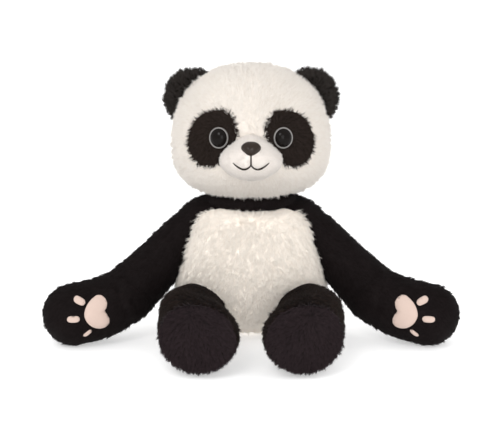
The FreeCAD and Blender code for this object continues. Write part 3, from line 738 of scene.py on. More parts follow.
@dataclass(frozen=True)
class Pile:
    """How the fibres of a plush stand.

    Attributes:
        count: how many fibres.
        length: of a fibre in metres.
        width: at its root in metres.
        lean: 0 upright to 1 flat along the skin.
        tuft: fibres in a tuft.
        gather: how far a tuft's tips come together, 0 to 1.
        stray: how much each fibre goes its own way.
    """

    count: int
    length: float
    width: float
    lean: float = 0.5
    tuft: int = 14
    gather: float = 0.5
    stray: float = 0.2

    def grow(
        self,
        name: str,
        skin: Skin,
        flow: Rule,
        seed: int,
        weight: Rule = EVERYWHERE,
        length: Rule = EVERYWHERE,
        keep_out: Sequence[Skin] = (),
    ) -> bpy.types.Object:
        """Makes the fibres as one mesh.

        Args:
            name: the object's name.
            skin: what they stand on.
            flow: takes places and returns the way the pile is brushed there.
            seed: of the chance.
            weight: takes places and returns how thick the pile is, 0 to 1.
            length: takes places and returns a share of the full length.
            keep_out: skins that no fibre goes into.

        Returns:
            The mesh object.
        """
        draw = np.random.default_rng(seed)
        count, width = self.count, self.width
        roots, normals = skin.scatter(count, draw, weight)
        tufts = max(1, count // self.tuft)
        tree = KDTree(tufts)
        for index in range(tufts):
            tree.insert(roots[index], index)
        tree.balance()
        own = np.array([tree.find(root)[1] for root in roots.tolist()])
        tuft_length = 0.8 + 0.4 * draw.random(tufts)
        reach = self.length * length(roots) * tuft_length[own] * (0.75 + 0.5 * draw.random(count))
        brushed = flow(roots)
        brushed = unit(brushed - (brushed * normals).sum(1, keepdims=True) * normals)
        swirl = draw.normal(0, 1, (tufts, 3))[own] * self.stray * 1.5 + draw.normal(0, 1, (count, 3)) * self.stray
        way = unit(normals * (1 - self.lean) + brushed * self.lean + swirl * 0.5)
        way = unit(way + normals * np.maximum(LEAST_RISE - (way * normals).sum(1, keepdims=True), 0))
        tips = roots + way * reach[:, None]
        tips += (tips[:tufts][own] - tips) * self.gather * np.minimum(1, 0.5 + draw.random((count, 1)))
        inside = np.zeros(count, bool)
        for other in keep_out:
            inside |= other.holds(tips) | other.holds(roots)
        good = ~inside
        roots, normals, tips, own = roots[good], normals[good], tips[good], own[good]
        marks = np.stack([draw.random(count)[good], draw.random(tufts)[own]], axis=1)
        return self.weave(name, roots, normals, tips, width, marks, draw)

    def weave(
        self,
        name: str,
        roots: Array,
        normals: Array,
        tips: Array,
        width: float,
        marks: Array,
        draw: np.random.Generator,
    ) -> bpy.types.Object:
        """Turns roots and tips into closed tapered fibres, each with its own cell of the UV map.

        Args:
            name: the object's name.
            roots: where the fibres start.
            normals: the skin's normals there.
            tips: where they end.
            width: at the root.
            marks: a number for each fibre and one for its tuft.
            draw: the source of chance.

        Returns:
            The mesh object.
        """
        count = len(roots)
        along = unit(tips - roots)
        side = unit(np.cross(along, draw.normal(0, 1, (count, 3))))
        other = np.cross(along, side)
        foot = roots + (tips - roots) * -SUNK
        corners = [
            foot + (side * math.cos(turn) + other * math.sin(turn)) * width / 2
            for turn in (0, 2 * math.pi / 3, 4 * math.pi / 3)
        ]
        points = np.stack([*corners, tips], axis=1)
        loops = (FIBRE_FACES[None] + (np.arange(count) * FIBRE_POINTS)[:, None, None]).reshape(-1)
        mesh = bpy.data.meshes.new(name)
        mesh.vertices.add(count * FIBRE_POINTS)
        mesh.vertices.foreach_set("co", points.ravel())
        mesh.loops.add(len(loops))
        mesh.loops.foreach_set("vertex_index", loops.astype(np.int32))
        mesh.polygons.add(len(loops) // 3)
        mesh.polygons.foreach_set("loop_start", np.arange(0, len(loops), 3, dtype=np.int32))
        mesh.update(calc_edges=True)
        self.map_cells(mesh, count)
        self.mark(mesh, marks)
        obj = bpy.data.objects.new(name, mesh)
        bpy.context.scene.collection.objects.link(obj)
        smooth(obj)
        off = points - roots[:, None]
        round_it = off - along[:, None] * (off * along[:, None]).sum(-1, keepdims=True)
        lift = normals[:, None] + unit(round_it) * ROUNDNESS
        lift[:, -1] = normals
        mesh.normals_split_custom_set_from_vertices(unit(lift.reshape(-1, 3)).tolist())
        return obj

    def map_cells(self, mesh: bpy.types.Mesh, count: int) -> None:
        """Lays each fibre out in its own square cell, root at the bottom.

        Args:
            mesh: the fibres.
            count: how many.
        """
        grid = max(1, math.ceil(math.sqrt(count)))
        cell = np.stack([np.arange(count) % grid, np.arange(count) // grid], axis=1)[:, None]
        inside = np.stack([FIBRE_ACROSS, 0.12 + 0.76 * FIBRE_HEIGHT], axis=1)[FIBRE_FACES.ravel()]
        uv = (cell + inside[None]) / grid
        layer = mesh.uv_layers.new(name="OFBake")
        layer.data.foreach_set("uv", uv.astype(np.float32).ravel())

    def mark(self, mesh: bpy.types.Mesh, marks: Array) -> None:
        """Writes each point's height along its fibre, and the numbers of chance, for the material.

        Args:
            mesh: the fibres.
            marks: a number for each fibre and one for its tuft.
        """
        colour = np.ones((len(marks), FIBRE_POINTS, 4), np.float32)
        colour[..., 0] = FIBRE_HEIGHT
        colour[..., 1] = marks[:, :1]
        colour[..., 2] = marks[:, 1:]
        layer = mesh.attributes.new("fibre", "FLOAT_COLOR", "POINT")
        layer.data.foreach_set("color", colour.ravel())


def towards(*way: float) -> Rule:
    """Brushed one way all over."""
    return lambda points: np.tile(np.array(way, float), (len(points), 1))


def away_from(centre: Array, drop: float = 0.0) -> Rule:
    """Brushed away from a point, and down by drop."""
    return lambda points: unit(points - centre) - np.array([0, 0, drop])


def step(value: Array, low: float, high: float) -> Array:
    """0 up to low, 1 from high, and smooth between."""
    share = np.clip((value - low) / (high - low), 0, 1)
    return share * share * (3 - 2 * share)


@dataclass(frozen=True)
class Outline:
    """A closed outline seen from the front.

    Attributes:
        across: X of its middle on the left side, in metres.
        height: Z of its middle.
        reach: distances to the outline, from straight up and on outwards, in even turns.
        side: which side of the toy it is on.
        rounding: in radians, how far a corner is rounded.
    """

    across: float
    height: float
    reach: tuple[float, ...]
    side: Side
    rounding: float = 0.24

    def radius(self, angle: Array) -> Array:
        """Distance to the outline at angles from straight up, outwards.

        Args:
            angle: from straight up and outwards, in radians.

        Returns:
            The distances.
        """
        places = np.arange(len(self.reach)) * 2 * math.pi / len(self.reach)
        apart = np.angle(np.exp(1j * (np.asarray(angle)[..., None] - places)))
        share = np.exp(-((apart / self.rounding) ** 2) / 2)
        return (share * np.array(self.reach)).sum(-1) / share.sum(-1)

    def share(self, points: Array) -> Array:
        """How far out each point is: 0 in the middle, 1 on the outline.

        Args:
            points: the places.

        Returns:
            The shares.
        """
        out = points[:, 0] * self.side.value - self.across
        up = points[:, 2] - self.height
        return np.hypot(out, up) / self.radius(np.arctan2(out, up))

    def lay(self, name: str, skin: Skin, lift: float, crown: float, wall: float, cells: int) -> bpy.types.Object:
        """Lays a cushion with this outline on a skin.

        Args:
            name: the object's name.
            skin: what it lies on.
            lift: height of its edge over the skin.
            crown: how much higher its middle is.
            wall: thickness below that.
            cells: faces across.

        Returns:
            The closed mesh.
        """
        bpy.ops.object.select_all(action="DESELECT")
        bpy.ops.mesh.primitive_grid_add(x_subdivisions=cells, y_subdivisions=cells, size=2)
        obj = bpy.context.object
        obj.name = obj.data.name = name
        flat = coords(obj)
        u = flat[:, 0] * np.sqrt(1 - flat[:, 1] ** 2 / 2)
        v = flat[:, 1] * np.sqrt(1 - flat[:, 0] ** 2 / 2)
        far, angle = np.hypot(u, v), np.arctan2(u, v)
        size = far * self.radius(angle)
        x = (self.across + size * np.sin(angle)) * self.side.value
        places, normals = skin.face(x, self.height + size * np.cos(angle))
        rise = lift + crown * (1 - far**3)
        set_coords(obj, places + normals * rise[:, None])
        outward_front(obj)
        thick = obj.modifiers.new("wall", "SOLIDIFY")
        thick.thickness, thick.offset = wall, -1
        apply_modifiers(obj)
        smooth(obj)
        return obj


def outward_front(obj: bpy.types.Object) -> None:
    """Turns the faces of an open sheet towards -Y.

    Args:
        obj: the object.
    """
    lean = sum(polygon.normal.y * polygon.area for polygon in obj.data.polygons)
    if lean > 0:
        activate(obj)
        bpy.ops.object.mode_set(mode="EDIT")
        bpy.ops.mesh.select_all(action="SELECT")
        bpy.ops.mesh.flip_normals()
        bpy.ops.object.mode_set(mode="OBJECT")


@dataclass(frozen=True)
class Limb:
    """A round body along a line.

    Attributes:
        line: places along it.
        radii: radius at each place.
        blunt: length of a flattened far end, or 0 where it is round.
        ease: how far the line and radii are smoothed, as a share of the length.
    """

    line: tuple[tuple[float, float, float], ...]
    radii: tuple[float, ...]
    blunt: float = 0.0
    ease: float = 0.09

    def rule(self, sphere: Array) -> Array:
        """Carries the unit sphere, +Z at the far end, to the limb.

        Args:
            sphere: points on the unit sphere.

        Returns:
            Where each point goes.
        """
        line, radii = np.array(self.line), np.array(self.radii)
        gaps = np.linalg.norm(np.diff(line, axis=0), axis=1)
        knots = np.concatenate([[0], np.cumsum(gaps)])
        full, first = knots[-1], radii[0]
        last = self.blunt or radii[-1]
        s = np.linspace(-first, full + last, SAMPLES)
        inner = np.clip(s, 0, full)
        width = max(3, int(self.ease * SAMPLES)) | 1
        window = np.hanning(width + 2)[1:-1]
        window /= window.sum()

        def eased(values: Array) -> Array:
            """Values along the line, smoothed, held at both ends."""
            padded = np.pad(values, width // 2, mode="reflect", reflect_type="odd")
            return np.convolve(padded, window, mode="valid")

        beyond = s - inner
        tangent0, tangent1 = unit(line[1] - line[0]), unit(line[-1] - line[-2])
        centre = np.stack([np.interp(inner, knots, line[:, k]) for k in range(3)], axis=1)
        centre += np.minimum(beyond, 0)[:, None] * tangent0 + np.maximum(beyond, 0)[:, None] * tangent1
        centre = np.stack([eased(centre[:, k]) for k in range(3)], axis=1)
        radius = eased(np.interp(inner, knots, radii))
        near, far = np.clip(-s / first, 0, 1), np.clip((s - full) / last, 0, 1)
        power = 2.6 if self.blunt else 2.0
        radius = radius * np.sqrt(1 - near**2) * (1 - far**power) ** (1 / power)
        way = unit(np.gradient(centre, axis=0))
        path = np.concatenate([[0], np.cumsum(np.hypot(np.diff(s), np.diff(radius)))])
        at = (1 - np.arccos(np.clip(sphere[:, 2], -1, 1)) / math.pi) * path[-1]
        pick = [np.interp(at, path, centre[:, k]) for k in range(3)]
        lead = unit(np.stack([np.interp(at, path, way[:, k]) for k in range(3)], axis=1))
        side = unit(np.cross(lead, np.array([0.0, 1.0, 0.0]) + lead[:, [2, 0, 1]] * 1e-6))
        over = np.cross(side, lead)
        angle = np.arctan2(sphere[:, 1], sphere[:, 0])
        out = np.cos(angle)[:, None] * side + np.sin(angle)[:, None] * over
        return np.stack(pick, axis=1) + out * np.interp(at, path, radius)[:, None]


def seated(points: Array) -> Array:
    """Presses what would be under the floor flat onto it.

    Args:
        points: the places.

    Returns:
        The moved places.
    """
    points = points.copy()
    points[:, 2] = np.where(points[:, 2] < FLOOR_GAP, FLOOR_GAP, points[:, 2])
    return points


def facing(points: Array, centre: Array, normal: Array) -> Array:
    """Carries flat coordinates (right, up, out) to a place on a surface.

    Args:
        points: the coordinates.
        centre: where they start.
        normal: the surface's normal.

    Returns:
        The carried points.
    """
    out = unit(normal)
    right = unit(np.cross(np.array([0.0, 0.0, 1.0]), out))
    return centre + points @ np.stack([right, np.cross(out, right), out])


# ---- head -----------------------------------------------------------------------------------


@dataclass
class Head:
    """The stuffed head with its face.

    Attributes:
        crown: height of the skull over its middle.
        chin: depth of the jaw under it.
        fullness: how square the outline is over the middle, under it, and in depth; 2 is an ellipse.
        inset: how far the skin lies inside the plush's outer surface.
        front_pile: the pile of the face and forehead.
        back_pile: the pile behind the ears.
        patch_pile: the eye patches' pile.
        muzzle_pile: the muzzle's short velvet.
        patch_reach: in millimetres, from a patch's middle to its outline, from straight up and outwards.
        muzzle_half: half sizes of the muzzle.
        eye_half: half sizes of an eye's dome.
        ring_width: of the thin ring round an eye.
        eye_in: how far the eyes lie inside their packed places.
        nose_half: half sizes of the nose.
        thread: radius of the mouth's thread.
    """

    crown: float = 78 * MM
    chin: float = 55 * MM
    fullness: tuple[float, float, float] = (2.22, 2.85, 2.2)
    inset: float = 3.2 * MM
    front_pile: Pile = Pile(47000, 5.6 * MM, 0.56 * MM, 0.66, 11, 0.34, 0.2)
    back_pile: Pile = Pile(42000, 5.6 * MM, 0.6 * MM, 0.66, 11, 0.34, 0.2)
    patch_pile: Pile = Pile(7500, 4.6 * MM, 0.5 * MM, 0.62, 8, 0.45, 0.3)
    muzzle_pile: Pile = Pile(20000, 2.1 * MM, 0.36 * MM, 0.55, 10, 0.3, 0.2)
    patch_reach: tuple[float, ...] = (25.8, 23.2, 20.6, 21.4, 24.0, 27.2, 24.6, 20.5, 19.5, 22.0, 27.2, 30.6)
    muzzle_half: tuple[float, float, float] = (28.4 * MM, 27.0 * MM, 21.5 * MM)
    eye_half: tuple[float, float, float] = (8.1 * MM, 8.9 * MM, 5.2 * MM)
    ring_width: float = 0.75 * MM
    eye_in: float = 1.0 * MM
    nose_half: tuple[float, float, float] = (9.5 * MM, 7.3 * MM, 6.0 * MM)
    thread: float = 0.62 * MM

    def __post_init__(self) -> None:
        """Takes the head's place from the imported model."""
        low, high = span("head_front_cover", "head_back_cover")
        self.half = (high - low) / 2 - self.inset
        self.centre = np.array([0, (low[1] + high[1]) / 2, high[2] - self.crown])
        self.muzzle_at = middle("muzzle_filling")
        self.muzzle_at[2] += 0.3 * MM
        low, high = span("muzzle_cover")
        self.muzzle_at[1] = low[1] + self.muzzle_half[1] - 1.0 * MM
        self.patches = []
        for side in Side:
            box = middle(f"{side.word}_eye_patch")
            reach = tuple(r * MM for r in self.patch_reach)
            self.patches.append(Outline(abs(box[0]) - 0.3 * MM, box[2] - 0.3 * MM, reach, side))

    def outline(self, sphere: Array) -> Array:
        """Carries the unit sphere to the head.

        Args:
            sphere: points on the unit sphere.

        Returns:
            Where each point goes.
        """
        up = sphere[:, 2]
        wide = np.where(up > 0, self.fullness[0], self.fullness[1])
        rise = np.abs(up) ** (2 / wide)
        across = np.maximum(1 - rise**wide, 0) ** (1 / wide)
        deep = np.maximum(1 - rise ** self.fullness[2], 0) ** (1 / self.fullness[2])
        way = unit(sphere[:, :2] + 1e-12)
        tall = np.where(up > 0, self.crown - self.inset, -(self.chin - self.inset)) * rise
        out = way[:, 0] * across * self.half[0]
        tall -= 3 * MM * step(-up, 0.6, 1.0) * np.exp(-((out / (32 * MM)) ** 2))
        return self.centre + np.stack([out, way[:, 1] * deep * self.half[1], tall], 1)

    def seam(self, points: Array) -> Array:
        """The middle seam down the forehead and the one from ear to ear.

        Args:
            points: the places.

        Returns:
            1 on a seam, 0 away from it.
        """
        local = points - self.centre
        line = (np.abs(local[:, 0]) < SEAM_HALF) & (local[:, 1] < 0)
        ears = np.abs(local[:, 1] - 8 * MM) < SEAM_HALF
        return (line | ears).astype(float)

    def muzzle_rule(self, sphere: Array) -> Array:
        """Carries the unit sphere to the muzzle, which narrows to the bridge between the eyes.

        Args:
            sphere: points on the unit sphere.

        Returns:
            Where each point goes.
        """
        x, y, z = sphere.T
        narrow = 1.04 - 0.42 * step(z, -0.25, 1.0)
        low = 1 - 0.10 * step(-z, 0.3, 1.0)
        full = np.sign(z) * np.abs(z) ** 0.92
        lean = np.where(z > 0, z**2 * 7 * MM, 0)
        half = self.muzzle_half
        return self.muzzle_at + np.stack([x * half[0] * narrow * low, y * half[1] + lean, full * half[2]], 1)

    def build_skull(self) -> None:
        """The stuffed skull."""
        head = ball("head_skin", self.outline, 72, 48)
        Stuffing(voxel=4 * MM, slack=0.015, cap=1.2 * MM, fill=0.85).finish(head, self.seam)
        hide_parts("head_front_cover", "head_back_cover", "head_filling")
        dress(head, CREAM.cloth(), "head")
        self.skin = Skin(head)

    def build_muzzle(self) -> None:
        """The stuffed muzzle, its velvet and the stitched mouth."""
        muzzle = ball("muzzle_skin", self.muzzle_rule, 56, 40)
        low = self.muzzle_at[2]
        chin = Stuffing(voxel=3 * MM, slack=0.01, cap=0.6 * MM, fill=0.9)
        chin.finish(muzzle, lambda p: (np.abs(p[:, 0]) < 1.8 * MM) & (p[:, 2] < low))
        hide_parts("muzzle_cover", "muzzle_filling")
        dress(muzzle, WHITE.cloth(), "head")
        self.muzzle = Skin(muzzle)
        nose = middle("nose")
        self.nose_at = np.array([0, 0, nose[2]])
        self.lines = self.mouth_lines()
        self.build_mouth()
        self.build_nose()

        def bare(points: Array) -> Array:
            """No velvet under the nose or the thread, or inside the head.

            Args:
                points: the places.

            Returns:
                1 where there is pile, 0 where there is none.
            """
            thread = np.concatenate(self.lines)
            close = np.min([np.hypot(points[:, 0] - q[0], points[:, 2] - q[2]) for q in thread], 0)
            return step(close, 0.7 * MM, 1.3 * MM) * (points[:, 1] < self.centre[1] - 30 * MM)

        pile = self.muzzle_pile.grow(
            "muzzle_pile", self.muzzle, away_from(self.muzzle_at + np.array([0, -60 * MM, 8 * MM]), 0.2), 21, bare,
            keep_out=(self.nose_skin, self.skin),
        )
        dress(pile, WHITE.pile(), "head")

    def mouth_lines(self) -> list[Array]:
        """Points of the three lines of the mouth, on the muzzle.

        Returns:
            The points of each line.
        """
        top = self.nose_at[2] - 5.0 * MM
        low, high = span("mouth_stitching")
        meet, half = low[2] + (high[2] - low[2]) * 0.24 + 2.4 * MM, 16.4 * MM
        lines = []
        for sign in (1, -1):
            t = np.linspace(0, 1, 26)
            x = sign * half * t
            z = meet - 4.5 * MM * np.sin(math.pi * t**0.75) + 0.9 * MM * t**3
            lines.append(self.muzzle.face(x, z))
        z = np.linspace(top, meet, 14)
        lines.append(self.muzzle.face(z * 0, z))
        return [places + normals * 0.9 * MM for places, normals in lines]

    def build_mouth(self) -> None:
        """The mouth, in satin stitch that is fullest at the middle of each curve."""
        pieces = []
        for number, line in enumerate(self.lines):
            t = np.linspace(0, 1, len(line))
            curved = self.thread * (0.55 + 0.95 * np.sin(math.pi * np.minimum(t * 0.9 + 0.1, 1)) ** 0.8)
            straight = self.thread * (1.0 + 0.25 * t)
            pieces.append(strand(f"mouth_{number}", line, curved if number < 2 else straight))
        activate(pieces[0])
        for piece in pieces:
            piece.select_set(True)
        bpy.ops.object.join()
        mouth = pieces[0]
        mouth.name = mouth.data.name = "mouth_thread"
        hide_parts("mouth_stitching")
        dress(mouth, THREAD.material(), "head")

    def build_nose(self) -> None:
        """The moulded nose, wide over and narrow under, with a shallow groove."""
        places, normals = self.muzzle.face(np.array([0.0]), np.array([self.nose_at[2]]))
        half = self.nose_half

        def rule(sphere: Array) -> Array:
            """Carries the unit sphere to the nose.

            Args:
                sphere: points on the unit sphere.

            Returns:
                Where each point goes.
            """
            x, z, y = sphere[:, 0], sphere[:, 1], sphere[:, 2]
            taper = 1 - 0.30 * step(-z, -0.35, 1.0)
            groove = 1 - 0.13 * np.exp(-((x * half[0] / (2.4 * MM)) ** 2)) * step(y, 0, 0.6)
            flat = np.sign(y) * np.abs(y) ** 0.85
            shape = np.stack([x * half[0] * taper, z * half[1] * (1 - 0.1 * x**2), flat * half[2] * groove], 1)
            return facing(shape, places[0], normals[0] + np.array([0, 0, 0.10]))

        nose = ball("nose_pad", rule, 48, 32)
        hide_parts("nose")
        dress(nose, NOSE.material(), "head")
        self.nose_skin = Skin(nose)

    def build_patches(self) -> None:
        """The dark patches sewn round the eyes, with their cloth and long pile."""
        for number, (side, patch) in enumerate(zip(Side, self.patches)):
            cloth = patch.lay(f"{side.word}_patch_cloth", self.skin, 1.0 * MM, 0.4 * MM, 1.6 * MM, 36)
            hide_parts(f"{side.word}_eye_patch")
            dress(cloth, PATCH.cloth(), "head")
            eye = self.eye_places[number]
            pile = self.patch_pile.grow(
                f"{side.word}_patch_pile", Skin(cloth), away_from(eye + np.array([0, -25 * MM, 12 * MM]), 0.35),
                31 + number,
                lambda p: (p[:, 1] < self.centre[1] - 20 * MM) * step(self.eye_share(p, eye), 1.06, 1.2),
                lambda p: 0.55 + 0.6 * step(self.eye_share(p, eye), 1.2, 2.4),
                keep_out=(self.muzzle,),
            )
            dress(pile, PATCH.pile(), "head")

    def eye_share(self, points: Array, eye: Array) -> Array:
        """Distance from an eye's middle over the ring's size."""
        off = points - eye
        return np.hypot(np.hypot(off[:, 0], off[:, 1]) / self.eye_half[0], off[:, 2] / self.eye_half[1])

    def build_eyes(self) -> None:
        """The domed eyes in their thin rings."""
        self.eye_places = []
        half = self.eye_half
        for side in Side:
            at = middle(f"{side.word}_eye_ring") - np.array([side.value * self.eye_in, 0, 0])
            places, normals = self.skin.face(at[[0]], at[[2]])
            normal = unit(normals[0] + np.array([0, -0.5, 0.0]))
            place = places[0] + normal * 2.3 * MM
            self.eye_places.append(place)

            def dome(sphere: Array) -> Array:
                """Carries the unit sphere to the eye."""
                out = np.where(sphere[:, 2] > 0, sphere[:, 2] * half[2], sphere[:, 2] * 2.2 * MM)
                return facing(np.stack([sphere[:, 0] * half[0], sphere[:, 1] * half[1], out], 1), place, normal)

            eye = ball(f"{side.word}_eye_dome", dome, 48, 32)
            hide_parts(f"{side.word}_eye")
            dress(eye, EYE.material(), "head")
            bpy.ops.object.select_all(action="DESELECT")
            bpy.ops.mesh.primitive_torus_add(
                major_segments=72, minor_segments=16, major_radius=1 + self.ring_width / half[0], minor_radius=1e-3
            )
            ring = bpy.context.object
            ring.name = ring.data.name = f"{side.word}_eye_rim"
            flat = coords(ring)
            turn = np.arctan2(flat[:, 1], flat[:, 0])
            spread = (np.hypot(flat[:, 0], flat[:, 1]) - 1 - self.ring_width / half[0]) * 1000
            tube = np.stack([np.cos(turn), np.sin(turn)], 1)
            size = np.array([half[0], half[1]]) + self.ring_width * (0.6 + spread[:, None] * 1.05)
            out = flat[:, 2] * 1000 * self.ring_width * 1.5 + 0.4 * MM
            set_coords(ring, facing(np.concatenate([tube * size, out[:, None]], 1), place, normal))
            outward(ring)
            smooth(ring)
            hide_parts(f"{side.word}_eye_ring")
            dress(ring, RING.material(), "head")

    def build_pile(self, ears: Sequence[Skin]) -> None:
        """The pile of the head, clear of the face's fittings and the ears.

        Args:
            ears: the ears' cloth.
        """

        def cover(points: Array) -> Array:
            """Where the head has its own pile.

            Args:
                points: the places.

            Returns:
                1 where it has.
            """
            shown = np.ones(len(points))
            for patch in self.patches:
                inside = step(patch.share(points), 0.93, 1.0)
                shown *= np.where(points[:, 1] < self.centre[1] - 10 * MM, inside, 1)
            local = points - self.centre
            neck = np.hypot(local[:, 0], local[:, 1]) < 26 * MM
            return shown * np.where(neck & (local[:, 2] < 0), 0.0, 1.0)

        def parting(points: Array) -> Array:
            """Shorter along the forehead's seam and round the muzzle, longer under the chin.

            Args:
                points: the places.

            Returns:
                A share of the full length.
            """
            local = points - self.centre
            front = local[:, 1] < 0
            seam = 1 - 0.35 * np.exp(-((local[:, 0] / (2.5 * MM)) ** 2)) * front * (local[:, 2] > 30 * MM)
            off = (points - self.muzzle_at) / np.array(self.muzzle_half)
            chin = np.exp(-((local[:, 0] / (26 * MM)) ** 2)) * step(-local[:, 2], 40 * MM, 55 * MM) * front
            return seam * (0.6 + 0.4 * step(np.linalg.norm(off, axis=1), 1.1, 1.7)) * (1 + 0.25 * chin)

        flow = away_from(self.centre + np.array([0, -95 * MM, 0]), 0.30)
        line = self.centre[1] + 8 * MM
        parts = {
            "head_front_pile": (self.front_pile, lambda p: cover(p) * (p[:, 1] < line)),
            "head_back_pile": (self.back_pile, lambda p: cover(p) * (p[:, 1] >= line)),
        }
        for number, (name, (pile, where)) in enumerate(parts.items()):
            made = pile.grow(name, self.skin, flow, 11 + number, where, parting, (self.muzzle, *ears))
            dress(made, CREAM.pile(), "head")


def strand(name: str, line: Array, radii: Array) -> bpy.types.Object:
    """A round thread along a line, closed at both ends.

    Args:
        name: the object's name.
        line: points along it.
        radii: its radius at each.

    Returns:
        The mesh object.
    """
    bpy.ops.object.select_all(action="DESELECT")
    count = len(line)
    bpy.ops.mesh.primitive_uv_sphere_add(segments=8, ring_count=count + 1, radius=1)
    obj = bpy.context.object
    obj.name = obj.data.name = name
    sphere = unit(coords(obj))
    at = (1 - np.arccos(np.clip(sphere[:, 2], -1, 1)) / math.pi) * (count + 1) - 1
    at = np.clip(at, 0, count - 1)
    spots = np.arange(count)
    centre = np.stack([np.interp(at, spots, line[:, k]) for k in range(3)], 1)
    way = unit(np.gradient(line, axis=0))
    lead = unit(np.stack([np.interp(at, spots, way[:, k]) for k in range(3)], 1))
    side = unit(np.cross(lead, np.array([0.0, 1.0, 0.0])))
    over = np.cross(side, lead)
    angle = np.arctan2(sphere[:, 1], sphere[:, 0])
    radius = np.interp(at, spots, radii) * (np.abs(sphere[:, 2]) < 0.9999)
    out = np.cos(angle)[:, None] * side + np.sin(angle)[:, None] * over
    set_coords(obj, centre + out * radius[:, None])
    outward(obj)
    smooth(obj)
    return obj


# ---- ears -----------------------------------------------------------------------------------


@dataclass
class Ears:
    """Two cupped round ears.

    Attributes:
        radius: of the cloth.
        wall: half its thickness.
        cup: how far the front is hollowed.
        rim_back: how far the rim lies behind the middle.
        edge: how far the cloth lies inside the plush's outer edge.
        pile: the fuzz.
    """

    radius: float = 26.0 * MM
    wall: float = 7.5 * MM
    cup: float = 5.0 * MM
    rim_back: float = -4.0 * MM
    edge: float = 2.0 * MM
    pile: Pile = Pile(17000, 5.5 * MM, 0.6 * MM, 0.55, 12, 0.4, 0.32)

    def build(self) -> list[Skin]:
        """Makes both ears' cloth, and returns it for the pile to keep clear of.

        Returns:
            The cloth, for piles to keep out of.
        """
        self.skins = []
        for side in Side:
            low, high = span(f"{side.word}_ear_cover")
            centre = (low + high) / 2
            out = side.value
            centre[0] = (high[0] if out > 0 else low[0]) - out * (self.radius + self.edge)
            centre[2] = high[2] - self.radius - self.edge

            def rule(sphere: Array) -> Array:
                """Carries the unit sphere to the ear.

                Args:
                    sphere: points on the unit sphere.

                Returns:
                    Where each point goes.
                """
                far = np.hypot(sphere[:, 0], sphere[:, 2])
                thick = sphere[:, 1] * self.wall
                hollow = np.where(sphere[:, 1] < 0, self.cup * (1 - far**2), 0)
                deep = thick + hollow + self.rim_back * far**2
                return centre + np.stack([sphere[:, 0] * self.radius, deep, sphere[:, 2] * self.radius], 1)

            ear = ball(f"{side.word}_ear_skin", rule, 56, 36)
            Stuffing(voxel=3.5 * MM, slack=0.01, cap=0.8 * MM, fill=0.4).finish(ear, no_seam)
            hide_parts(f"{side.word}_ear_cover", f"{side.word}_ear_pad")
            dress(ear, BLACK.cloth(), f"{side.word}_ear")
            self.skins.append(Skin(ear))
        return self.skins

    def build_pile(self, head: Skin) -> None:
        """The ears' fuzz, longer round the rim.

        Args:
            head: the head's cloth.
        """
        for number, (side, skin) in enumerate(zip(Side, self.skins)):
            low, high = skin.points.min(0), skin.points.max(0)
            centre = (low + high) / 2
            made = self.pile.grow(
                f"{side.word}_ear_pile",
                skin,
                away_from(centre + np.array([0, -6 * MM, -12 * MM])),
                41 + number,
                length=lambda p: 0.62 + 0.5 * step(np.hypot(*(p - centre)[:, [0, 2]].T), 12 * MM, 25 * MM),
                keep_out=(head,),
            )
            dress(made, EAR.pile(), f"{side.word}_ear")


# ---- torso ----------------------------------------------------------------------------------


